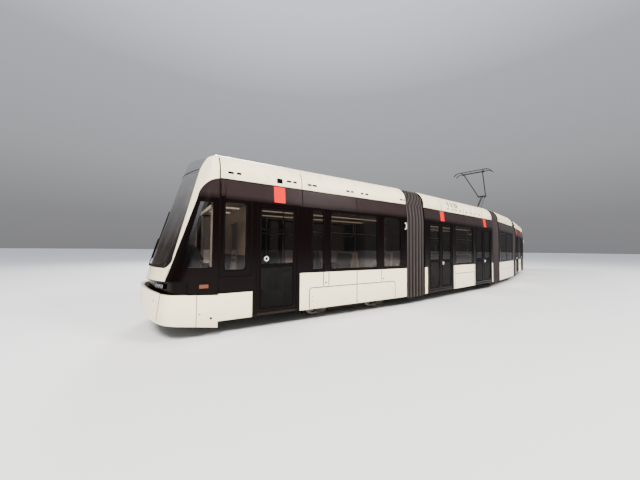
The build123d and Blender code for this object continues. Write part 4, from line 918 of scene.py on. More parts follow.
# Air slots: dark strips of painted shade where the openings' inside lies in shadow.
CAB_SLOTS = [(5.215, 5.32, 3.03), (5.07, 5.16, 3.035), (4.205, 4.335, 3.045), (4.205, 4.335, 3.015),
             (4.205, 4.335, 2.985), (4.00, 4.11, 3.035), (3.87, 3.96, 3.035), (3.50, 3.60, 3.03),
             (3.36, 3.47, 3.03), (2.42, 2.52, 3.025), (2.29, 2.37, 3.025), (1.97, 2.05, 3.02),
             (1.80, 1.90, 3.02), (0.50, 0.61, 3.02), (0.40, 0.46, 3.02)]
CAB_LATCHES, LATCH_RADIUS, LATCH_PROUD = [(3.12, 0.83), (1.29, 0.83)], 0.022, 0.006
CAB_SCREWS = [(3.47, 0.54), (3.47, 0.45), (2.35, 0.54), (2.16, 0.54), (0.95, 0.56), (0.95, 0.46)]
SCREW_RADIUS = 0.010
HANGING_UPRIGHTS = [(1.32, CANT_TOP, FAIRING_TOP), (4.52, CANT_TOP, FAIRING_TOP),
                    (2.92, BAND_LOW, BAND_TOP), (2.92, CANT_TOP, FAIRING_TOP),
                    (2.19, SKIRT_LOW, SKIRT_TOP), (3.705, SKIRT_LOW, SKIRT_TOP)]
HANGING_LEVELS = [(0.385, 5.565, 2.899), (2.195, 3.70, 0.785)]
# Air slots and vents: dark strips of painted shade where the openings' inside lies in shadow.
HANGING_SLOTS = [(x - 0.05, x + 0.05, 3.01) for x in (4.07, 3.74, 3.5, 3.21, 2.7, 2.32, 1.99, 1.6, 0.5)]
HANGING_VENTS = [(x, 3.09, 3.27) for x in (4.0, 3.75, 3.52, 3.38)]
MIDDLE_UPRIGHTS = [(0.0, CANT_TOP, FAIRING_TOP), (0.0, 2.55, BAND_TOP)]
MIDDLE_LEVELS = [(-1.59, 1.59, 2.899)]
# Air slots: dark strips of painted shade where the openings' inside lies in shadow.
MIDDLE_SLOTS = [(x, x + 0.10, 3.025) for x in (-1.3, -0.9, -0.3, 0.2, 0.8, 1.2)]


def panel_lines(uprights, levels, slots=(), vents=()):
    """Dark strips for one side: upright joints, level joints, and the painted shade of air slots and upright
    vents.
    """
    lines = [skin_strip(x - LINE / 2, x + LINE / 2, z0, z1, LINE_PROUD) for x, z0, z1 in uprights]
    lines += [skin_strip(x0, x1, z - LINE / 2, z + LINE / 2, LINE_PROUD) for x0, x1, z in levels]
    # Slots and vents are painted shade: dark strips for the shadowed inside of the openings.
    lines += [skin_strip(x0, x1, z - SLOT_HALF, z + SLOT_HALF, SLOT_PROUD) for x0, x1, z in slots]
    lines += [skin_strip(x - VENT_HALF, x + VENT_HALF, z0, z1, SLOT_PROUD) for x, z0, z1 in vents]
    return lines


def hatch_line(x0, x1, skin):
    """Rubber in the groove round a bogie hatch: up one side, over two quarter circles, down the other."""
    left = arc((x0 + HATCH_CORNER, HATCH_TOP - HATCH_CORNER), HATCH_CORNER, 180.0, 90.0, 7)
    right = (left * [-1.0, 1.0] + [x0 + x1, 0.0])[::-1]
    path = np.vstack([[[x0, SKIRT_LOW]], left, right, [[x1, SKIRT_LOW]]])
    along = np.gradient(path, axis=0)
    out = np.stack([-along[:, 1], along[:, 0]], axis=-1) / np.linalg.norm(along, axis=1, keepdims=True)
    corners = [(1.0, 0.0), (1.0, -0.006), (-1.0, -0.006), (-1.0, 0.0)]
    rings = [np.insert(path + step * LINE / 2 * out, 1, skin + depth, axis=1) for step, depth in corners]
    return np.stack(rings, axis=1), True, True


seam_edges = (CAB_SEAM_X - NOSE_SEAM_HALF, CAB_SEAM_X + NOSE_SEAM_HALF)
nose_seam = skin_strip(*seam_edges, CANT_TOP, FAIRING_TOP, SLOT_PROUD)
cab_lines = panel_lines(CAB_UPRIGHTS, CAB_LEVELS, CAB_SLOTS)
cab_lines += [hatch_line(*CAB_HATCH, HALF_WIDTH + LINE_PROUD), nose_seam]
heads = [skin_disc(x, z, LATCH_RADIUS, LATCH_PROUD) for x, z in CAB_LATCHES]
heads += [skin_disc(x, z, SCREW_RADIUS) for x, z in CAB_SCREWS]
for section in CABS:
    fit(section, "panel_lines", cab_lines, seal_rubber)
    fit(section, "latches", heads, seal_rubber)
for section in HANGING:
    lines = panel_lines(HANGING_UPRIGHTS, HANGING_LEVELS, HANGING_SLOTS, HANGING_VENTS)
    fit(section, "panel_lines", lines, seal_rubber)
middle_lines = panel_lines(MIDDLE_UPRIGHTS, MIDDLE_LEVELS, MIDDLE_SLOTS)
middle_lines.append(hatch_line(*MIDDLE_HATCH, HALF_WIDTH - MIDDLE_LINE_SUNK))
fit(middle, "panel_lines", middle_lines, seal_rubber)
print("panel lines on", len(SECTIONS), "sections")

# %% [markdown]
# ## Bellows
# Between two sections hangs a tunnel of coated fabric, clamped in folds, as tall as the roof fairings. Its
# skin is a function of how far along the curve a point is and how far round the tunnel. The folds are a row
# of sine humps, and on the shoulders they run slantwise, where the fabric takes up the corner.
# It is shaped to the joint's present bend, and its rims ride on the two bodies.

# %% Bellows
BELLOWS_INSET, BELLOWS_LOW, BELLOWS_TOP = 0.02, 0.22, 3.43
FOLDS, FOLD_DEPTH, FABRIC, SLANT, ROWS_PER_FOLD = 6, 0.048, 0.045, 2.4, 10
GAP_HALF, LEAN_POINT_Z, MIDDLE_HEIGHT = 0.38, 2.70, 1.4
RIM_PROUD, RIM_INSIDE, RIM_LENGTH, RIM_LAP = 0.014, 0.01, 0.03, 0.002


def tunnel_outline(inset):
    """Points (y, z) up the left side, over the shoulder and across the roof's middle, then down the right."""
    inset = BELLOWS_INSET + inset
    side = np.concatenate([np.linspace(BELLOWS_LOW, CANT_START, 6), [LEAN_POINT_Z]])
    z = np.concatenate([side, np.linspace(CANT_TOP, BELLOWS_TOP - 0.012, 16)])
    left = np.stack([skin_y(z) - inset, np.minimum(z, BELLOWS_TOP - inset)], axis=-1)
    roof = np.linspace(FAIRING_CREST[0] - inset, 0.0, 5)[1:]
    left = np.vstack([left, np.stack([roof, np.full(4, BELLOWS_TOP - inset)], axis=-1)])
    return np.vstack([left, left[-2::-1] * [-1.0, 1.0]])


def fold_depth(rows):
    """How deep in its crease each point is, 0 to 1: rows along the arc, columns round the outer skin.

    The phase of the folds grows with the height over the shoulders, so the creases slant there."""
    outline = tunnel_outline(0.0)
    height = (outline[:, 1] - CANT_TOP) / (BELLOWS_TOP - CANT_TOP)
    u = np.linspace(0.0, 1.0, rows)[:, None]
    return 1.0 - np.abs(np.sin(math.pi * (FOLDS * u + SLANT * height.clip(0.0, 1.0)[None]))) ** 0.8


def bellows_points(bend, rows):
    """Fabric of one joint in the frame of its first end, and how near its crest each point is."""
    crease = fold_depth(rows)
    crease = np.hstack([crease, crease[:, ::-1]])
    ring = np.vstack([tunnel_outline(0.0), tunnel_outline(FABRIC)[::-1]])
    ring_deep = np.vstack([tunnel_outline(FOLD_DEPTH), tunnel_outline(FABRIC + FOLD_DEPTH)[::-1]])
    section_yz = ring[None] + crease[..., None] * (ring_deep - ring)[None]
    side = 1.0 if bend > 0 else -1.0
    turn = abs(bend) * np.linspace(0.0, 1.0, rows)[:, None]
    radius = GAP_HALF / math.tan(abs(bend) / 2)
    y, z = section_yz[..., 0], section_yz[..., 1]
    return np.stack([radius * np.sin(turn) - y * np.sin(side * turn),
                     side * radius * (1.0 - np.cos(turn)) + y * np.cos(turn), z], axis=-1), 1.0 - crease


BELLOWS = [("bellows_23", middle, front_hanging, "front_inner_articulation", 1.0),
           ("bellows_12", front_hanging, front_cab, "front_outer_articulation", 1.0),
           ("bellows_34", middle, rear_hanging, "rear_inner_articulation", -1.0),
           ("bellows_45", rear_hanging, rear_cab, "rear_outer_articulation", 1.0)]
rim = np.vstack([tunnel_outline(-RIM_PROUD), tunnel_outline(FABRIC + FOLD_DEPTH + RIM_INSIDE)[::-1]])
for node, first, second, joint, way in BELLOWS:
    pivot = joint_at[joint][:2]
    base = Section(first.body, node, pivot - GAP_HALF * way * first.along[:2], pivot)
    bend = math.atan2(float(np.cross(base.along[:2], second.along[:2])), float(base.along @ second.along))
    fabric, crest = bellows_points(bend, ROWS_PER_FOLD * FOLDS + 1)
    piece = make_piece(node + "_fabric", in_section(base, [(fabric, True, True)]), bellows_rubber, None, 80.0)
    piece.data.attributes.new("crest", "FLOAT", "POINT").data.foreach_set("value", crest.ravel())
    end = second.place(np.array([GAP_HALF, 0.0, MIDDLE_HEIGHT]))
    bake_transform(piece)
    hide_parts(node)
    first_rim = extruded(rim, -RIM_LAP, RIM_LENGTH)
    second_rim = extruded(rim, GAP_HALF - RIM_LENGTH, GAP_HALF + RIM_LAP)
    make_piece(node + "_rim_0", in_section(base, [first_rim]), seal_rubber, first.body)
    make_piece(node + "_rim_1", in_section(second, [second_rim]), seal_rubber, second.body)
    print(node, "bend", round(math.degrees(bend), 2), "points", crest.size, "mesh", len(piece.data.vertices))

# %% [markdown]
# ## Nose in plan
# From above, the nose is one wide arc, two rounded corners and straight sides. A point of that outline is
# given by its distance from the middle, measured round the outline, and its outward direction comes with
# it. Seams are then strips of the outline, as trim on the sides is a strip of the skin.

# %% Nose in plan
BUMPER_FRONT = float(max(points[:, 0].max() for points in islands(front_cab, "bumper")))
BUMPER_AHEAD, SEAM_BEHIND = 0.085, 1.14
NOSE_FRONT = BUMPER_FRONT - BUMPER_AHEAD
FRONT_RADIUS, CORNER_RADIUS, RAKE, RAKE_BASE = 2.30, 0.26, 0.288, 1.00
SEAM_X = NOSE_FRONT - SEAM_BEHIND
OUTLINE_REACH, FINE_STEPS, STRIP_TURN_STEP = 3.0, 3001, 0.04


def nose_outline(front, inset, distance):
    """Points (x, y) and outward directions at these distances from the outline's middle, left positive.

    The distance runs over the front arc, then over the corner's arc, then back along the straight side."""
    distance = np.asarray(distance, float)
    big, small, side = FRONT_RADIUS - inset, CORNER_RADIUS - inset, HALF_WIDTH - inset
    centre_x = front - FRONT_RADIUS
    corner_y = side - small
    corner_x = centre_x + math.sqrt((big - small) ** 2 - corner_y ** 2)
    turn = math.atan2(corner_y, corner_x - centre_x)
    far = np.abs(distance)
    on_arc, on_corner = big * turn, big * turn + small * (0.5 * math.pi - turn)
    angle = np.where(far < on_arc, far / big, turn + (far - on_arc) / small).clip(0.0, 0.5 * math.pi)
    x = np.where(far < on_arc, centre_x + big * np.cos(angle), corner_x + small * np.cos(angle))
    x = x - np.maximum(far - on_corner, 0.0)
    y = np.where(far < on_arc, big * np.sin(angle), corner_y + small * np.sin(angle))
    way = np.where(distance < 0.0, -1.0, 1.0)
    return np.stack([x, way * y], axis=-1), np.stack([np.cos(angle), way * np.sin(angle)], axis=-1)


def distance_at(front, x):
    """Distance round the outline of the point on the left side at this x, found on a fine grid."""
    grid = np.linspace(0.0, OUTLINE_REACH, FINE_STEPS)
    return float(grid[np.argmin(np.abs(nose_outline(front, 0.0, grid)[0][:, 0] - x))])


def upright_strip(front, inset, d0, d1, low, high, proud=0.0015, sunk=0.006):
    """Plate on an upright part of the nose between two distances; low and high are heights at its ends."""
    distance = np.linspace(d0, d1, 2 + int(abs(d1 - d0) / STRIP_TURN_STEP))
    points, out = nose_outline(front, inset, distance)
    low = np.linspace(low[0], low[1], len(distance))
    high = np.linspace(high[0], high[1], len(distance))
    outer, inner = points + proud * out, points - sunk * out
    ring = [(outer, low), (outer, high), (inner, high), (inner, low)]
    return np.stack([np.concatenate([p, z[:, None]], axis=-1) for p, z in ring], axis=1), True, True


def glass_point(distance, z, proud=0.0):
    """Points of the raked windscreen: the outline slides back by the rake as it rises."""
    distance, z = np.broadcast_arrays(distance, z)
    plan, out = nose_outline(0.0, -proud, distance)
    stretch = math.sqrt(1.0 + RAKE ** 2)
    return np.stack([NOSE_FRONT - RAKE * (z - RAKE_BASE) + plan[..., 0] * stretch, plan[..., 1], z], axis=-1)


print("nose reaches", round(BUMPER_FRONT, 3), "seam at", round(SEAM_X, 3))

# %% [markdown]
# ## Bumper, lamps and markers
# The bumper is moulded in five lengths that meet in thin seams, held by sunken screws. Under the apron
# each side has a housing with three round lamps: a chrome ring, a bowl and a domed lens. An amber marker
# lies flush in each black flank.

# %% Bumper, lamps and markers
FLANK_SEAM_X, FLANK_SEAM_HALF, FLANK_SEAM_Z = 5.815, 0.005, (0.215, 0.772)
LEAN_SEAM_X, LEAN_SEAM_HALF = (6.41, 6.36), 0.006
LEAN_SEAM_Z, LEAN_STEPS, LEAN_ENDS_Z = (0.345, 0.835), 9, (0.39, 0.83)
BUMPER_SCREWS = [(6.458, 0.68, 0.014), (5.76, 0.43, 0.013), (5.575, 0.34, 0.022)]
LAMP_Z, LAMP_POLAR_Y, LAMP_SPACING, MASK_INSET, LAMP_PROUD = 0.915, 0.90, 0.098, 0.06, 0.03
LENS_RING = [(0.034, -0.004), (0.042, -0.004), (0.044, 0.003), (0.041, 0.008), (0.035, 0.006), (0.033, 0.0)]
LENS_DOME = [(0.0, -0.004), (0.034, -0.004), (0.034, 0.002), (0.026, 0.007), (0.014, 0.010), (0.0, 0.011)]
REFLECTOR = [(0.0, 0.0015), (0.010, 0.0015), (0.012, 0.006), (0.0, 0.008)]
MARKER_X, MARKER_Z, MARKER_RIM = (5.63, 5.78), (0.880, 0.945), 0.008
MARKER_PROUD, MARKER_RIM_PROUD = 0.004, 0.002


def bumper_seams():
    """Seams of one side: an upright one on the flank, and one that leans with the corner."""
    flank = distance_at(BUMPER_FRONT, FLANK_SEAM_X)
    ends = [distance_at(BUMPER_FRONT, x) for x in LEAN_SEAM_X]
    rise = np.linspace(*LEAN_SEAM_Z, LEAN_STEPS)
    lean = np.interp(rise, LEAN_ENDS_Z, ends)
    runs = [(flank, FLANK_SEAM_HALF, *FLANK_SEAM_Z)]
    centres = 0.5 * (lean[1:] + lean[:-1])
    runs += [(d, LEAN_SEAM_HALF, z0, z1) for d, z0, z1 in zip(centres, rise, rise[1:])]
    return [upright_strip(BUMPER_FRONT, 0.0, d - half, d + half, (z0, z0), (z1, z1))
            for d, half, z0, z1 in runs]


def bumper_screws():
    """Screw heads and the latch of the flank panel."""
    heads = []
    for x, z, radius in BUMPER_SCREWS:
        place, out = nose_outline(BUMPER_FRONT, 0.0, distance_at(BUMPER_FRONT, x))
        profile = [(0.0, -0.004), (radius, -0.004), (radius, 0.001), (0.7 * radius, 0.002), (0.0, 0.0005)]
        heads.append(turned_shape(profile, (*place, z), (*out, 0.0), 16))
    return heads


def lamp_parts(profile):
    """One profile turned at each of the three lamps on the left, square to the lamps' housing."""
    radius = FRONT_RADIUS - MASK_INSET
    turn = math.asin(LAMP_POLAR_Y / radius)
    out = np.array([math.cos(turn), math.sin(turn), 0.0])
    along = np.array([-out[1], out[0], 0.0])
    face = np.array([NOSE_FRONT - FRONT_RADIUS, 0.0, LAMP_Z]) + out * (radius + LAMP_PROUD)
    return [turned_shape(profile, face + along * step * LAMP_SPACING, out, 24) for step in (-1, 0, 1)]


def marker_plate(rim, proud):
    """Plate on the flank, larger than the marker by its rim all round."""
    return [skin_strip(MARKER_X[0] - rim, MARKER_X[1] + rim, MARKER_Z[0] - rim, MARKER_Z[1] + rim, proud)]


for section in CABS:
    fit(section, "bumper_seams", bumper_seams(), seal_rubber)
    fit(section, "bumper_screws", bumper_screws(), seal_rubber)
    fit(section, "lamp_rings", lamp_parts(LENS_RING), lamp_chrome)
    fit(section, "lamp_bulbs", lamp_parts(REFLECTOR), lamp_chrome)
    fit(section, "lamp_lenses", lamp_parts(LENS_DOME), lamp_lens)
    fit(section, "marker", marker_plate(0.0, MARKER_PROUD), orange_marker)
    fit(section, "marker_frame", marker_plate(MARKER_RIM, MARKER_RIM_PROUD), seal_rubber)
print("cabs with lamps and markers", len(CABS))

# %% [markdown]
# ## Windscreen's seam and wiper
# The top pane meets the windscreen in a level rubber seam. One wiper is parked upright near the middle: a
# spindle, a bent arm, and a blade held parallel to the glass.

# %% Windscreen's seam and wiper
SEAM_Z, SEAM_REACH = 3.09, 0.98
WIPER_D, WIPER_SWING, WIPER_OUT, WIPER_ARM_RADIUS = -0.16, 0.10, 0.030, 0.009
WIPER_FOOT_Z, BLADE_FROM_FOOT, WIPER_ELBOW_Z, WIPER_TIP_Z = 1.235, 0.14, 1.78, 2.36
SEAM_CORNERS = [(-0.007, 0.002), (0.007, 0.002), (0.007, -0.004), (-0.007, -0.004)]
BLADE = [(-0.004, 0.002), (-0.008, 0.012), (-0.006, 0.020), (0.006, 0.020), (0.008, 0.012), (0.004, 0.002)]
BOSS = [(0.0, -0.01), (0.032, -0.01), (0.030, 0.016), (0.018, 0.034), (0.0, 0.036)]


def screen_seam():
    """Level strip on the glass, a small rectangle carried round the front arc."""
    distance = np.linspace(-SEAM_REACH, SEAM_REACH, 41)
    ring = [glass_point(distance, SEAM_Z + dz, out) for dz, out in SEAM_CORNERS]
    return np.stack(ring, axis=1), True, True


def wiper():
    """Arm as a tube along the glass, blade as a thin fin, and the spindle's boss."""
    rise = np.linspace(WIPER_FOOT_Z, WIPER_ELBOW_Z, 9)
    swing = WIPER_D + WIPER_SWING * np.sin(np.linspace(0.0, 0.5 * math.pi, 9))
    arm = round_bar(glass_point(swing, rise, WIPER_OUT), WIPER_ARM_RADIUS, 8)
    blade_z = np.linspace(WIPER_FOOT_Z + BLADE_FROM_FOOT, WIPER_TIP_Z, 14)
    ring = [glass_point(WIPER_D + WIPER_SWING + step, blade_z, out) for step, out in BLADE]
    foot = glass_point(np.array([WIPER_D]), np.array([WIPER_FOOT_Z]), 0.0)[0]
    return [arm, (np.stack(ring, axis=1), True, True), turned_shape(BOSS, foot, (1.0, 0.0, RAKE), 18)]


for section in CABS:
    fit(section, "wiper", wiper(), seal_rubber, both_sides=False)
    fit(section, "screen_seam", [screen_seam()], seal_rubber, both_sides=False)
print("wipers", len(CABS))

# %% [markdown]
# ## Rear-view cameras and handles
# Behind the seam stands a camera housing instead of a mirror; its lens looks back along the side. At the
# section's inner end a white grab bar stands out from the skin, for whoever couples or washes the tram.

# %% Cameras and handles
HANDLE_X, HANDLE_LOW, HANDLE_HIGH, HANDLE_OUT = 0.43, 2.19, 2.35, 0.040
HANDLE_BEND, HANDLE_RADIUS, HANDLE_SUNK, HANDLE_END_SUNK = 0.03, 0.011, 0.004, 0.008
HANDLE_FOOT = [(0.0, -0.002), (0.024, -0.002), (0.022, 0.005), (0.0, 0.006)]
CAMERA_SPOT = (SEAM_X - 0.088, HALF_WIDTH + 0.022, 2.62)
CAMERA_RING = [(0.012, -0.003), (0.018, -0.003), (0.018, 0.004), (0.013, 0.006), (0.012, 0.0)]
CAMERA_DOME = [(0.0, -0.003), (0.0125, -0.003), (0.0125, 0.001), (0.007, 0.004), (0.0, 0.005)]
BACKWARDS = (-1.0, 0.0, 0.0)


def grab_handle():
    """Upright bar with quarter-round ends into the skin, and a foot plate at each."""
    base = HALF_WIDTH - HANDLE_SUNK
    bend_y = base + HANDLE_OUT - HANDLE_BEND
    low = arc((bend_y, HANDLE_LOW + HANDLE_BEND), HANDLE_BEND, -90.0, 0.0, 6)
    high = arc((bend_y, HANDLE_HIGH - HANDLE_BEND), HANDLE_BEND, 0.0, 90.0, 6)
    path = np.vstack([[[base, HANDLE_LOW]], low, high, [[base - HANDLE_END_SUNK, HANDLE_HIGH]]])
    bar = round_bar(np.insert(path, 0, HANDLE_X, axis=1), HANDLE_RADIUS, 10)
    feet = [turned_shape(HANDLE_FOOT, (HANDLE_X, float(skin_y(z)), z), ACROSS, 16)
            for z in (HANDLE_LOW, HANDLE_HIGH)]
    return [bar] + feet


for section in CABS:
    fit(section, "camera_rings", [turned_shape(CAMERA_RING, CAMERA_SPOT, BACKWARDS, 20)], seal_rubber)
    fit(section, "camera_lenses", [turned_shape(CAMERA_DOME, CAMERA_SPOT, BACKWARDS, 16)], lamp_lens)
    fit(section, "grab_handles", grab_handle(), white_plastic)
print("cameras and handles", 2 * len(CABS))

# %% [markdown]
# ## Seat fabric
# The seats wear a hard flat-woven plush: a dense weave that only shows close up, flecks of a second
# colour, and a shine where people have sat. The pattern is read in the section's own frame, so that its
# threads run along and across the tram.


# %% Seat fabric
def seat_fabric(section):
    finish = Finish("seat_fabric_" + section.prefix)
    place = finish.turned(section)
    x, y, z = finish.axes(place)
    warp = ((x + z) * 2100.0).math("SINE")
    weft = (y * 2100.0).math("SINE")
    flecks = finish.noise(place, 75.0, 2.0)
    wear = finish.noise(place, 5.0, 4.0)
    fleck_mask = ((flecks - 0.57) * 14.0).clamped()
    ground = finish.mix((wear * 0.55).clamped(), colour(38, 46, 74), colour(62, 66, 84))
    return finish.surface(
        Base_Color=finish.mix(fleck_mask, ground, colour(146, 52, 44)), Roughness=wear * 0.15 + 0.72,
        Sheen_Weight=0.35, Specular_IOR_Level=0.25, Normal=finish.bump(warp * weft, 0.35, 0.0006))


FABRIC_FINISH = {s.prefix: seat_fabric(s) for s in SECTIONS}
piping_cloth = dull("piping_cloth", colour(30, 32, 40), colour(60, 60, 64), 0.7, 300.0, 0.2)
print("fabrics", len(FABRIC_FINISH))

# %% [markdown]
# ## Seats
# The CAD seat is the moulded shell. On it lie two pads of foam under fabric, one to sit on and one to
# lean against. A pad is a closed surface: an outline that is a rounded rectangle whose sides pull in
# between the corners, swelling from the shell to a crown, with two sewn channels and piping at the edge.

# %% Pads
PAD_THICK, PAD_CROWN, PAD_PULL, PIPING_RADIUS = 0.030, 0.014, 0.008, 0.004
CHANNEL_DEPTH, CHANNEL_SPREAD, DOUBLE_SEAT_CHANNEL = 0.006, 0.035, 0.34
CUSHION_TOP, CUSHION_DEPTH, BACK_HIGH, BACK_LEAN, BACK_THICK = 0.07, 0.43, 0.70, 0.09, 0.06
PAD_INSET, CUSHION_FROM_BACK, REST_SHORT, REST_RAISED = 0.012, 0.008, 0.075, 0.055
DOUBLE_SEAT_HALF, SEAT_WIDTHS, SEAT_HEIGHTS = 0.3, (0.4, 1.0), (0.6, 1.2)


def pad_outline(half_u, half_v, turns=56):
    """Rounded rectangle |u/a|^7 + |v/b|^7 = 1 whose four sides are pulled in most at their middles."""
    angle = np.linspace(0.0, 2.0 * math.pi, turns, endpoint=False)
    c, s = np.cos(angle), np.sin(angle)
    u, v = np.sign(c) * np.abs(c) ** (2 / 7), np.sign(s) * np.abs(s) ** (2 / 7)
    width, depth = half_u - PAD_PULL * (1.0 - v ** 2), half_v - PAD_PULL * (1.0 - u ** 2)
    return np.stack([u * width, v * depth], axis=-1)


def pad(half_u, half_v, channels):
    """Pad in its own frame: rows run from under its middle, out to the edge and over to its crown.

    Height over the shell is the edge's rounding plus a crown (1 - u²)(1 - v²) less the sewn channels."""
    scale = np.array([0.0, 0.55, 0.94, 0.99, 1.0, 0.985, 0.93, 0.84, 0.70, 0.55, 0.40, 0.25, 0.12, 0.0])
    rise = np.array([-0.2, -0.2, -0.15, 0.15, 0.5, 0.80, 0.97] + [1.0] * 7) * PAD_THICK
    upper = np.arange(len(scale)) > 5
    plan = scale[:, None, None] * pad_outline(half_u, half_v)[None]
    u, v = plan[..., 0] / half_u, plan[..., 1] / half_v
    crown = PAD_CROWN * (1.0 - u ** 2) * (1.0 - v ** 2)
    sewn = sum(np.exp(-((v - at) / CHANNEL_SPREAD) ** 2) for at in channels) * CHANNEL_DEPTH * (1.0 - u ** 4)
    height = rise[:, None] + np.where(upper[:, None], crown - sewn, 0.0)
    return np.concatenate([plan, height[..., None]], axis=-1)


def laid(grid, centre, along_u, along_v):
    """A pad's grid laid at a place: u and v along two directions, height square to both."""
    u, v = np.asarray(along_u, float), np.asarray(along_v, float)
    return centre + grid[..., 0:1] * u + grid[..., 1:2] * v + grid[..., 2:3] * np.cross(u, v)


def piping(half_u, half_v):
    """Cord sewn round the pad's edge: a small ring carried round its outline."""
    edge = pad_outline(half_u, half_v)
    edge = np.vstack([edge, edge[:1]])
    length = np.linalg.norm(edge, axis=1, keepdims=True)
    angle = np.linspace(0.0, 2.0 * math.pi, 6, endpoint=False)
    radial = edge[:, None] + PIPING_RADIUS * np.cos(angle)[None, :, None] * (edge / length)[:, None]
    height = np.broadcast_to(0.5 * PAD_THICK + PIPING_RADIUS * np.sin(angle), radial.shape[:2])
    return np.concatenate([radial, height[..., None]], axis=-1)


print("a pad has", pad(0.2, 0.2, (0.0,)).size // 3, "points")

# %% [markdown]
# ## Pads on their seats
# Each seat's shell is found among the inside's solids by its size, and the side its back leans to tells
# which way it faces. A seat for two is padded as one, with a channel on each side of its middle.


# %% Pads on their seats
def seat_places(section):
    """Seats of a section as (back's x, y, half width, top of the pedestal, facing)."""
    places = []
    for points in islands(section, "interior"):
        low, high = box_of(points)
        wide, tall = high[1] - low[1], high[2] - low[2]
        if SEAT_WIDTHS[0] < wide < SEAT_WIDTHS[1] and SEAT_HEIGHTS[0] < tall < SEAT_HEIGHTS[1]:
            top_x = points[points[:, 2] > high[2] - 0.01, 0].mean()
            facing = 1.0 if top_x < 0.5 * (low[0] + high[0]) else -1.0
            back_x = (low[0] if facing > 0 else high[0]) + facing * BACK_LEAN
            places.append((back_x, 0.5 * (low[1] + high[1]), 0.5 * wide, high[2] - BACK_HIGH, facing))
    return places


def upholstery(back_x, y, half, top, facing):
    """Cushion, backrest and their two pipings: the cushion lies level, the backrest on the leaning back."""
    half_v = half - PAD_INSET
    channels = (-DOUBLE_SEAT_CHANNEL, DOUBLE_SEAT_CHANNEL) if half > DOUBLE_SEAT_HALF else (0.0,)
    sit_u = 0.5 * (CUSHION_DEPTH - BACK_THICK) - PAD_INSET
    sit = np.array([back_x + facing * (BACK_THICK + sit_u + CUSHION_FROM_BACK), y, top + CUSHION_TOP])
    level = (sit, [1.0, 0.0, 0.0], ACROSS)
    lean = np.array([-facing * BACK_LEAN, 0.0, BACK_HIGH])
    slope = lean / np.linalg.norm(lean)
    rest_u = 0.5 * BACK_HIGH - REST_SHORT
    face = np.array([back_x + facing * BACK_THICK, y, top]) + slope * (0.5 * BACK_HIGH + REST_RAISED)
    leaning = (face, slope, [0.0, -facing, 0.0])
    grids = (laid(pad(sit_u, half_v, channels), *level), laid(pad(rest_u, half_v, channels), *leaning),
             laid(piping(sit_u, half_v), *level), laid(piping(rest_u, half_v), *leaning))
    return [(grid, True, False) for grid in grids]


for section in SECTIONS:
    seats = [upholstery(*place) for place in seat_places(section)]
    for index, kind in enumerate(("seat_cushions", "seat_backrests")):
        pads = fit(section, kind, [seat[index] for seat in seats], FABRIC_FINISH[section.prefix], False, 60.0)
    pipes = [pipe for seat in seats for pipe in seat[2:]]
    fit(section, "seat_piping", pipes, piping_cloth, False, 60.0)
    print(section.prefix, "seats", len(seats))

# %% [markdown]
# ## Ceiling lights and handrails
# Two rows of lights run the length of each section behind flat covers. Below them hang steel rails to
# hold on to, bent up into the ceiling at their ends, and from the rails hang strap loops.

# %% Ceiling lights and handrails
CEILING_Z, CEILING_THICK, CEILING_WIDE = 2.49, 0.05, 2.0
LIGHT_Y, LIGHT_HALF, LIGHT_SLOPE, LIGHT_DROP, LIGHT_SHORT = 0.42, 0.055, 0.012, 0.016, 0.10
RAIL_Y, RAIL_Z, RAIL_BEND, RAIL_RADIUS, RAIL_SHORT = 0.70, 2.02, 0.09, 0.0165, 0.25
CAB_SHORT, STRAP_FROM, STRAP_TO, CAB_STRAP_TO, STRAP_STEP = 0.75, 0.7, 0.6, 1.4, 0.9
RAIL_FLANGE = [(0.0, 0.002), (0.04, 0.002), (0.036, -0.008), (0.0, -0.010)]
STRAP_WIDE, STRAP_HIGH, STRAP_DROP, STRAP_WIRE, BAND_WIRE = 0.042, 0.05, 0.175, 0.007, 0.009
BAND_ABOVE, BAND_BELOW, IN_CEILING = 0.018, 0.125, 0.002


def ceiling_span(section):
    """Where a section's ceiling begins and ends along x."""
    for points in islands(section, "interior"):
        low, high = box_of(points)
        if high[2] - low[2] < CEILING_THICK and high[1] - low[1] > CEILING_WIDE:
            return low[0], high[0]


def light_cover(x0, x1, y):
    """Flat cover with sloping edges under the ceiling."""
    left = [(y - LIGHT_HALF, CEILING_Z + IN_CEILING), (y - LIGHT_HALF + LIGHT_SLOPE, CEILING_Z - LIGHT_DROP)]
    right = [(y + LIGHT_HALF - LIGHT_SLOPE, CEILING_Z - LIGHT_DROP), (y + LIGHT_HALF, CEILING_Z + IN_CEILING)]
    return extruded(left + right, x0, x1)


def hand_rail(x0, x1, y):
    """Level tube whose ends rise through quarter bends to the ceiling, with round flanges there."""
    first = arc((x0 + RAIL_BEND, RAIL_Z + RAIL_BEND), RAIL_BEND, 180.0, 270.0, 7)
    last = arc((x1 - RAIL_BEND, RAIL_Z + RAIL_BEND), RAIL_BEND, 270.0, 360.0, 7)
    path = np.vstack([[[x0, CEILING_Z]], first, last, [[x1, CEILING_Z]]])
    flanges = [turned_shape(RAIL_FLANGE, (x, y, CEILING_Z), UP, 16) for x in (x0, x1)]
    return [round_bar(np.insert(path, 1, y, axis=1), RAIL_RADIUS, 10)] + flanges


def strap(x, y):
    """Loop that hangs from the rail: a band over the tube and a ring to hold."""
    turn = np.linspace(0.0, 2.0 * math.pi, 17)
    ring_z = RAIL_Z - STRAP_DROP + STRAP_HIGH * np.cos(turn)
    ring = np.stack([x + STRAP_WIDE * np.sin(turn), np.full(17, y), ring_z], axis=-1)
    band = np.array([(x, y, RAIL_Z + BAND_ABOVE), (x, y, RAIL_Z - BAND_BELOW)])
    return [round_bar(ring, STRAP_WIRE, 6), round_bar(band, BAND_WIRE, 6)]


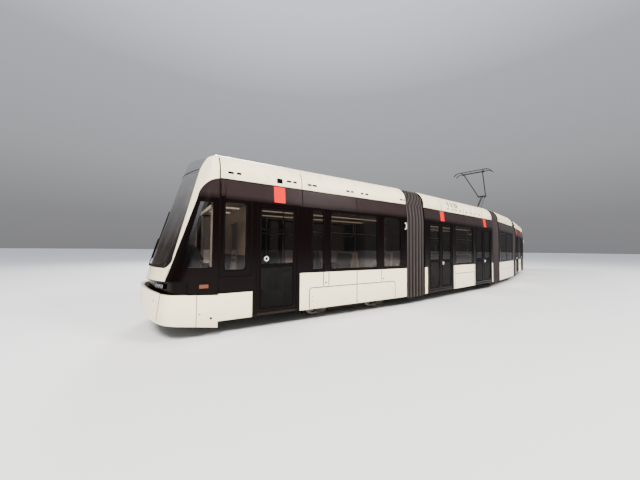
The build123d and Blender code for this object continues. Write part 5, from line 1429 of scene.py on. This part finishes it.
for section in SECTIONS:
    x0, x1 = ceiling_span(section)
    rails_end = x1 - (CAB_SHORT if section in CABS else 0.0)
    hang = np.arange(x0 + STRAP_FROM, x1 - (CAB_STRAP_TO if section in CABS else STRAP_TO), STRAP_STEP)
    straps = [grid for x in hang for grid in strap(float(x), RAIL_Y)]
    fit(section, "light_covers", [light_cover(x0 + LIGHT_SHORT, x1 - LIGHT_SHORT, LIGHT_Y)], light_strip)
    fit(section, "hand_rails", hand_rail(x0 + RAIL_SHORT, rails_end - RAIL_SHORT, RAIL_Y), handrail)
    fit(section, "straps", straps, piping_cloth)
print("lights and rails in", len(SECTIONS), "sections")

# %% [markdown]
# ## Driver's place
# Behind the screen rises a dark instrument hood, its back rounded towards the driver. At it are two flat
# screens and a lever with a round knob on each side. A light bar crosses the cab's ceiling, and posts of
# pale plastic stand at the cab window; each post is (x, thickness, inner y, outer y, foot's height).

# %% Driver's place
CAB_SHIFT = SEAM_X - CAB_SEAM_X
HOOD = [(6.06, 1.07), (6.03, 1.30), (5.97, 1.55), (5.90, 1.655), (5.82, 1.665), (5.74, 1.62), (5.685, 1.50),
        (5.665, 1.36), (5.655, 1.20), (5.72, 1.08)]
HOOD_BASE, HOOD_HALF, HOOD_NARROWS, HOOD_RINGS = 1.07, 0.86, 0.30, 25
SCREEN_SIZE, SCREEN_CORNER, SCREEN_LEAN = (0.26, 0.19), 0.012, 0.5
SCREEN_X, SCREEN_Y, SCREEN_Z = 5.655, 0.32, 1.42
SCREEN_RINGS = [(0.010, 0.0), (0.010, 0.018), (0.002, 0.022), (0.0, 0.016)]
LEVER_X, LEVER_Y, LEVER_Z = 5.93, 0.93, 1.055
LEVER = [(0.0, 0.0), (0.04, 0.0), (0.03, 0.02), (0.012, 0.035), (0.010, 0.12), (0.026, 0.135), (0.030, 0.155),
         (0.020, 0.172), (0.0, 0.176)]
BAR_X, BAR_HALF, BAR_Z, BAR_RADIUS = 5.50, 1.05, 2.46, 0.028
POSTS = [(5.545, 0.045, 1.155, 1.205, 1.25), (4.905, 0.05, 1.20, 1.255, 1.20),
         (5.385, 0.05, 1.20, 1.255, 1.20)]
POST_TOP = 2.44


def hood():
    """The hood's outline in (x, z) carried across the cab, drawn in towards both ends like a loaf."""
    outline = np.array(HOOD) + [CAB_SHIFT, 0.0]
    fixed = np.array([outline[:, 0].mean(), HOOD_BASE])
    across = np.linspace(-1.0, 1.0, HOOD_RINGS)
    shrink = 1.0 - HOOD_NARROWS * np.abs(across) ** 6
    plan = fixed + shrink[:, None, None] * (outline - fixed)
    y = np.broadcast_to(HOOD_HALF * across[:, None], plan.shape[:2])
    return np.stack([plan[..., 0], y, plan[..., 1]], axis=-1), True, True


def panel_screen(x, y, z):
    """Display in a raised frame, leaning back towards the driver: four rings of a rounded rectangle."""
    width, height = SCREEN_SIZE
    outline, out = rounded_loop(-width / 2, width / 2, -height / 2, height / 2, SCREEN_CORNER, 4)
    grid = np.stack([np.insert(outline + grow * out, 2, depth, axis=1) for grow, depth in SCREEN_RINGS])
    c, s = math.cos(SCREEN_LEAN), math.sin(SCREEN_LEAN)
    axes = np.array([ACROSS, (s, 0.0, c), (-c, 0.0, s)])
    return np.array([x, y, z]) + grid @ axes, True, True


def post(x, thick, y0, y1, z0):
    """Upright square bar that reaches the cab's ceiling."""
    x += CAB_SHIFT
    return extruded([(y0, z0), (y1, z0), (y1, POST_TOP), (y0, POST_TOP)], x, x + thick)


for section in CABS:
    displays = [panel_screen(SCREEN_X + CAB_SHIFT, y, SCREEN_Z) for y in (-SCREEN_Y, SCREEN_Y)]
    levers = [turned_shape(LEVER, (LEVER_X + CAB_SHIFT, y, LEVER_Z), UP, 18) for y in (-LEVER_Y, LEVER_Y)]
    bar = round_bar([(BAR_X + CAB_SHIFT, y, BAR_Z) for y in np.linspace(-BAR_HALF, BAR_HALF, 9)], BAR_RADIUS)
    fit(section, "instrument_hood", [hood()], desk_grey, both_sides=False)
    fit(section, "cab_displays", displays, seal_rubber, both_sides=False)
    fit(section, "cab_levers", levers, seal_rubber, both_sides=False)
    fit(section, "cab_light_bar", [bar], light_strip, both_sides=False)
    fit(section, "cab_posts", [post(*sizes) for sizes in POSTS], white_plastic)
print("driver's places", len(CABS))

# %% [markdown]
# ## Roof units
# Between the fairings lie the casings of the air conditioning and of the traction gear. Over each fan is
# a guard of wire rings on spokes, between the fans are pressed louvres, and the lids meet in seams. A
# unit is (first x, last x, half width, height of its lid).

# %% Roof units
CAB_UNIT, HANGING_UNIT = (0.90, 3.30, 0.82, 3.38), (1.50, 4.40, 0.76, 3.33)
MIDDLE_UNIT = (-1.35, 1.35, 0.62, 3.30)
FAN_FROM_END, FAN_ABOVE, FAN_WIRE, FAN_RINGS = 0.40, 0.004, 0.004, (0.085, 0.14, 0.195, 0.25)
SPOKES, SPOKE_FROM, SPOKE_TO = 6, 0.05, 0.255
BLADES, BLADE_FROM, BLADE_TO, BLADE_ROOT, BLADE_WIDENS = 5, 0.07, 0.225, 0.03, 0.10
BLADE_TILT, BLADE_HALF_THICK, BLADE_DOWN = 12, 0.002, 0.022
SLAT_STEP, SLATS_FROM, SLATS_TO, SLATS_SHORT = 0.075, 0.78, 0.80, 0.20
SLAT = [(0.0, -0.002), (0.006, 0.010), (0.030, 0.014), (0.052, -0.002)]
LID_SEAM_FROM, LID_SEAM_HALF, LID_SEAM_ABOVE, LID_SEAM_BELOW = 0.72, 0.012, 0.004, 0.006
SHOULDER_IN, SHOULDER_TOP_IN, SHOULDER_DROP = 0.02, 0.06, 0.05


def wire_ring(centre, radius, wire):
    """Ring of round wire, a small circle carried round a large one; it meets itself."""
    turn = np.linspace(0.0, 2.0 * math.pi, 33)[:, None]
    tube = np.linspace(0.0, 2.0 * math.pi, 6, endpoint=False)[None, :]
    reach = radius + wire * np.cos(tube)
    height = np.broadcast_to(wire * np.sin(tube), (33, 6))
    points = np.stack([reach * np.cos(turn), reach * np.sin(turn), height], axis=-1)
    return points + np.asarray(centre, float), True, False


def fan_guard(x, top):
    """Wire rings over a fan, and straight spokes that hold them."""
    centre = np.array([x, 0.0, top + FAN_ABOVE])
    wires = [wire_ring(centre, radius, FAN_WIRE) for radius in FAN_RINGS]
    for angle in np.arange(SPOKES) * 2.0 * math.pi / SPOKES:
        way = np.array([math.cos(angle), math.sin(angle), 0.0])
        wires.append(round_bar([centre + SPOKE_FROM * way, centre + SPOKE_TO * way], FAN_WIRE, 6))
    return wires


def fan_blades(x, top):
    """Blades round a fan's hub: each a thin plate that widens outwards and is tilted about its radius."""
    blades = []
    radial = np.linspace(BLADE_FROM, BLADE_TO, 5)[:, None]
    chord = np.array([-1.0, -1.0, 1.0, 1.0]) * (BLADE_ROOT + BLADE_WIDENS * radial)
    face = np.array([-1.0, 1.0, 1.0, -1.0]) * BLADE_HALF_THICK
    level = chord * math.tan(math.radians(BLADE_TILT)) + face - BLADE_DOWN
    for angle in np.arange(BLADES) * 2.0 * math.pi / BLADES:
        c, s = math.cos(angle), math.sin(angle)
        grid = np.stack([x + radial * c - chord * s, radial * s + chord * c, top + level], axis=-1)
        blades.append((grid, True, True))
    return blades


def louvres(x0, x1, half, top):
    """Pressed slats across the lid, each a low ridge with its opening towards the middle."""
    return [extruded(np.array(SLAT) + [x, top], -half, half, axis=1) for x in np.arange(x0, x1, SLAT_STEP)]


def lid_seams(x0, x1, half, top):
    """Raised joint strips across the casing's lid and down its shoulders."""
    right = np.array([(SHOULDER_TOP_IN - half, top), (SHOULDER_IN - half, top - SHOULDER_DROP)])
    edge = np.vstack([right[::-1], right * [-1.0, 1.0]])
    ring = np.vstack([edge + [0.0, LID_SEAM_ABOVE], edge[::-1] - [0.0, LID_SEAM_BELOW]])
    places = np.linspace(x0 + LID_SEAM_FROM, x1 - LID_SEAM_FROM, 3)
    return [extruded(ring, x - LID_SEAM_HALF, x + LID_SEAM_HALF) for x in places]


for section in SECTIONS:
    unit = CAB_UNIT if section in CABS else HANGING_UNIT if section in HANGING else MIDDLE_UNIT
    x0, x1, half, top = unit
    fans = (x0 + FAN_FROM_END, x1 - FAN_FROM_END)
    guards = [wire for x in fans for wire in fan_guard(x, top)]
    blades = [blade for x in fans for blade in fan_blades(x, top)]
    fit(section, "fan_guards", guards, roof_wire, both_sides=False)
    fit(section, "fan_blades", blades, running_gear, both_sides=False)
    if section is not middle:
        slats = louvres(x0 + SLATS_FROM, x1 - SLATS_TO, half - SLATS_SHORT, top)
        fit(section, "louvres", slats, roof_grey, both_sides=False)
    fit(section, "lid_seams", lid_seams(*unit), roof_grey, both_sides=False)
print("roof units", len(SECTIONS))

# %% [markdown]
# ## Pantograph
# Porcelain insulators with sheds carry the base frame. Two coil springs pull the lower arm up; at the
# knee, braided copper loops carry the current past the bearing. Each contact strip is carbon in a metal
# channel, worn smooth on top.

# %% Pantograph
PAN_BASE, PAN_KNEE, PAN_HEAD = (
    joint_at[name] for name in ("pantograph_raise", "pantograph_knee", "pantograph_head_level"))
INSULATORS = [(PAN_BASE[0] + dx, y) for dx in (-0.42, 0.42) for y in (-0.33, 0.33)]
SHEDS, SHED_RADIUS, POST_RADIUS, INSULATOR_LOW, INSULATOR_HIGH = 4, 0.072, 0.046, 3.30, 3.43
COILS, SPRING_RADIUS, SPRING_WIRE, SPRING_Y, COIL_STEPS, HOOK_RISE = 15, 0.030, 0.0045, 0.155, 12, 14.0
SPRING_FROM, SPRING_TO = (0.36, 3.492), (0.045, 3.552)
HOOK_LOW, HOOK_HIGH, HOOK_RADIUS = 3.468, 3.496, 0.010
BRAID_Y, BRAID_REACH, BRAID_HIGH, BRAID_RADIUS = 0.235, 0.075, 0.060, 0.007
STRIP_X, STRIP_HALF_LENGTH, STRIP_HALF_WIDTH = 0.19, 0.52, 0.026
STRIP_TOP, STRIP_LOW, STRIP_EDGE = 0.0898, 0.072, 0.006


def insulator_body(x, y):
    """Porcelain post whose radius swells into a shed four times on its way up."""
    height = np.linspace(0.0, 1.0, 41)
    wave = np.abs(np.sin(SHEDS * math.pi * height)) ** 1.6
    radius = POST_RADIUS + (SHED_RADIUS - POST_RADIUS) * wave
    rise = INSULATOR_LOW + (INSULATOR_HIGH - INSULATOR_LOW) * height
    profile = [(0.0, INSULATOR_LOW)] + list(zip(radius, rise)) + [(0.0, INSULATOR_HIGH)]
    return turned_shape(profile, (x, y, 0.0), UP, 20)


def coil_spring(start, end, radius, coils, wire):
    """Helix from start to end with close hooks: the ends lie on the axis."""
    start, end = np.asarray(start, float), np.asarray(end, float)
    t = np.linspace(0.0, 1.0, coils * COIL_STEPS + 1)
    axis = (end - start) / np.linalg.norm(end - start)
    first = np.cross(axis, ACROSS)
    first /= np.linalg.norm(first)
    second = np.cross(axis, first)
    reach = radius * np.minimum(1.0, np.minimum(t, 1.0 - t) * HOOK_RISE)[:, None]
    turn = 2.0 * math.pi * coils * t[:, None]
    path = start + t[:, None] * (end - start) + reach * (np.cos(turn) * first + np.sin(turn) * second)
    return round_bar(path, wire, 6, axis)


def lifting_spring(y):
    """Spring between the base frame and the lower arm's crank."""
    ends = [(PAN_BASE[0] + x, y, z) for x, z in (SPRING_FROM, SPRING_TO)]
    return coil_spring(*ends, SPRING_RADIUS, COILS, SPRING_WIRE)


def spring_hook(y):
    """Short post on the base frame that a spring is hung on."""
    x = PAN_BASE[0] + SPRING_FROM[0]
    return round_bar([(x, y, HOOK_LOW), (x, y, HOOK_HIGH)], HOOK_RADIUS, 8)


def knee_braid(y):
    """Half an ellipse of braid from above the knee's bearing to below it."""
    turn = np.linspace(0.0, math.pi, 13)
    x, z = PAN_KNEE[0] - BRAID_REACH * np.sin(turn), PAN_KNEE[2] + BRAID_HIGH * np.cos(turn)
    return round_bar(np.stack([x, np.full(13, y), z], axis=-1), BRAID_RADIUS, 6)


def carbon_strip(x):
    """Carbon cap between the horns: its top is level with the strip's, its sides overlap it a little."""
    half, top = STRIP_HALF_WIDTH, PAN_HEAD[2] + STRIP_TOP
    left = np.array([(-half, PAN_HEAD[2] + STRIP_LOW), (-half, top - STRIP_EDGE), (STRIP_EDGE - half, top)])
    ring = np.vstack([left, left[::-1] * [-1.0, 1.0]])
    return extruded(ring + [PAN_HEAD[0] + x, 0.0], -STRIP_HALF_LENGTH, STRIP_HALF_LENGTH, axis=1)


springs = [make(y) for make in (lifting_spring, spring_hook) for y in (-SPRING_Y, SPRING_Y)]
braids = [knee_braid(y) for y in (-BRAID_Y, BRAID_Y)]
strips = [carbon_strip(x) for x in (-STRIP_X, STRIP_X)]
make_piece("pantograph_insulators", [insulator_body(x, y) for x, y in INSULATORS], porcelain, middle.body)
make_piece("pantograph_springs", springs, tread_steel, middle.body)
make_piece("pantograph_knee_braids", braids, copper_braid, "pantograph_upper_arm")
make_piece("pantograph_carbon", strips, carbon, "pantograph_head")
print("insulators", len(INSULATORS), "braids", len(braids), "carbon strips", len(strips))

# %% [markdown]
# ## Bogies
# Under the skirts hang the parts that make a bogie: coil springs on the beams, ribbed motors with bolted
# covers, sand pipes that end just ahead of each wheel's tread, and a ring of bolts on every wheel.

# %% Bogies
AXLE_X, AXLE_Z, BEAM_Y, BEAM_TOP, MOTOR_FACE_Y = 0.925, 0.30, 0.93, 0.345, 1.12
SPRING_X, SPRING_TOP, SPRING_REACH, SPRING_COILS, SPRING_BAR, SEATED = 0.34, 0.70, 0.075, 6, 0.015, 0.01
SAND_PIPE = [(1.04, 0.93, 0.33), (1.18, 0.91, 0.34), (1.285, 0.84, 0.33), (1.30, 0.775, 0.27),
             (1.26, 0.75, 0.16), (1.21, 0.745, 0.055)]
PIPE_RADIUS = 0.014
SPRING_SEAT = [(0.0, 0.0), (0.10, 0.0), (0.10, 0.014), (0.05, 0.030), (0.0, 0.030)]
COVER = [(0.0, 0.0), (0.150, 0.0), (0.150, 0.010), (0.120, 0.016), (0.070, 0.016), (0.060, 0.028),
         (0.0, 0.030)]
COVER_SUNK, COVER_BOLTS, COVER_BOLT_RADIUS, FIRST_BOLT_TURN = 0.001, 8, 0.168, 0.2
BOLT = [(0.0, -0.002), (0.012, -0.002), (0.012, 0.007), (0.0, 0.010)]
RIB = [(0.186, -0.006), (0.200, -0.004), (0.200, 0.004), (0.186, 0.006), (0.186, -0.006)]
RIBS_Y = (1.02, 1.045, 1.07, 1.095)
WHEEL_BOLTS, WHEEL_BOLT_RADIUS, WEB_Y = 10, 0.165, 0.75


def smooth_path(corners, steps=6):
    """Points of the quadratic curves that go from edge middle to edge middle, with each corner as control."""
    corners = np.asarray(corners, float)
    middles = 0.5 * (corners[1:] + corners[:-1])
    t = np.linspace(0.0, 1.0, steps, endpoint=False)[None, :, None]
    a, b, c = middles[:-1, None], corners[1:-1, None], middles[1:, None]
    curve = ((1.0 - t) ** 2 * a + 2.0 * t * (1.0 - t) * b + t ** 2 * c).reshape(-1, 3)
    return np.vstack([corners[:1], curve, middles[-1:], corners[-1:]])


def beam_spring(side):
    """Coil spring on the left beam, its first and last turns let into the seats."""
    x = side * SPRING_X
    ends = (x, BEAM_Y, BEAM_TOP - SEATED), (x, BEAM_Y, SPRING_TOP)
    return [coil_spring(*ends, SPRING_REACH, SPRING_COILS, SPRING_BAR)]


def motor_fittings(side):
    """Seat of the spring, and the motor's cover, ribs and ring of bolts."""
    seat = turned_shape(SPRING_SEAT, (side * SPRING_X, BEAM_Y, BEAM_TOP - 0.002), UP, 20)
    face = (side * AXLE_X, MOTOR_FACE_Y - COVER_SUNK, AXLE_Z)
    ribs = [turned_shape(RIB, (side * AXLE_X, y, AXLE_Z), ACROSS, 32) for y in RIBS_Y]
    bolts = bolt_circle(BOLT, face, COVER_BOLT_RADIUS, COVER_BOLTS, FIRST_BOLT_TURN)
    return [seat, turned_shape(COVER, face, ACROSS, 28)] + ribs + bolts


def sand_pipe(side):
    """Bent tube that ends just ahead of the wheel's tread."""
    return [round_bar(smooth_path(np.array(SAND_PIPE) * [side, 1.0, 1.0]), PIPE_RADIUS, 8)]


for name, carrier in (("front", front_cab), ("middle", middle), ("rear", rear_cab)):
    centre = joint_at[name + "_bogie_yaw"][:2]
    truck = Section(name + "_bogie", name + "_bogie", centre, centre + carrier.along[:2])
    fit(truck, "springs", beam_spring(1.0) + beam_spring(-1.0), tread_steel)
    fit(truck, "fittings", motor_fittings(1.0) + motor_fittings(-1.0), running_gear)
    fit(truck, "sand_pipes", sand_pipe(1.0) + sand_pipe(-1.0), seal_rubber)
    for letter, x in (("a", AXLE_X), ("b", -AXLE_X)):
        bolts = mirrored(bolt_circle(BOLT, (x, WEB_Y, AXLE_Z), WHEEL_BOLT_RADIUS, WHEEL_BOLTS))
        wheelset = f"{name}_wheelset_{letter}"
        make_piece(f"{name}_wheel_bolts_{letter}", in_section(truck, bolts), tread_steel, wheelset)
print("bogies dressed, each with four sand pipes and four springs")

# %% [markdown]
# ## Finishes on the CAD nodes
# A node whose shape is right keeps it, and only gets a better material in its slot.

# %% Finishes on the CAD nodes
PART_FINISH = {
    "floor": floor_grey, "podiums": floor_grey, "walls": black_paint, "skirts": cream_paint,
    "doors": black_paint, "cab_band": cream_paint, "cab_sides": black_paint, "bumper": cream_paint,
}
GROUP_FINISH = {
    "bogie": running_gear, "wheelset": wheel_finish, "bellows": bellows_rubber, "pan": pantograph_paint,
}
SECTION_FINISH = {"roof": ROOF_FINISH, "interior": INSIDE_FINISH, "glass": GLASS_FINISH}


def node_finish(name):
    """Finish by the node's name: its section and part, or its group, whose number is dropped."""
    start, part = name.split("_", 1)
    if part in SECTION_FINISH:
        return SECTION_FINISH[part][start]
    group = start.rstrip("135")
    return GROUP_FINISH[group] if group in GROUP_FINISH else PART_FINISH[part]


for name, obj in frame["nodes"].items():
    for material_slot in obj.material_slots:
        material_slot.material = node_finish(name)
print("dressed", len(frame["nodes"]), "nodes")
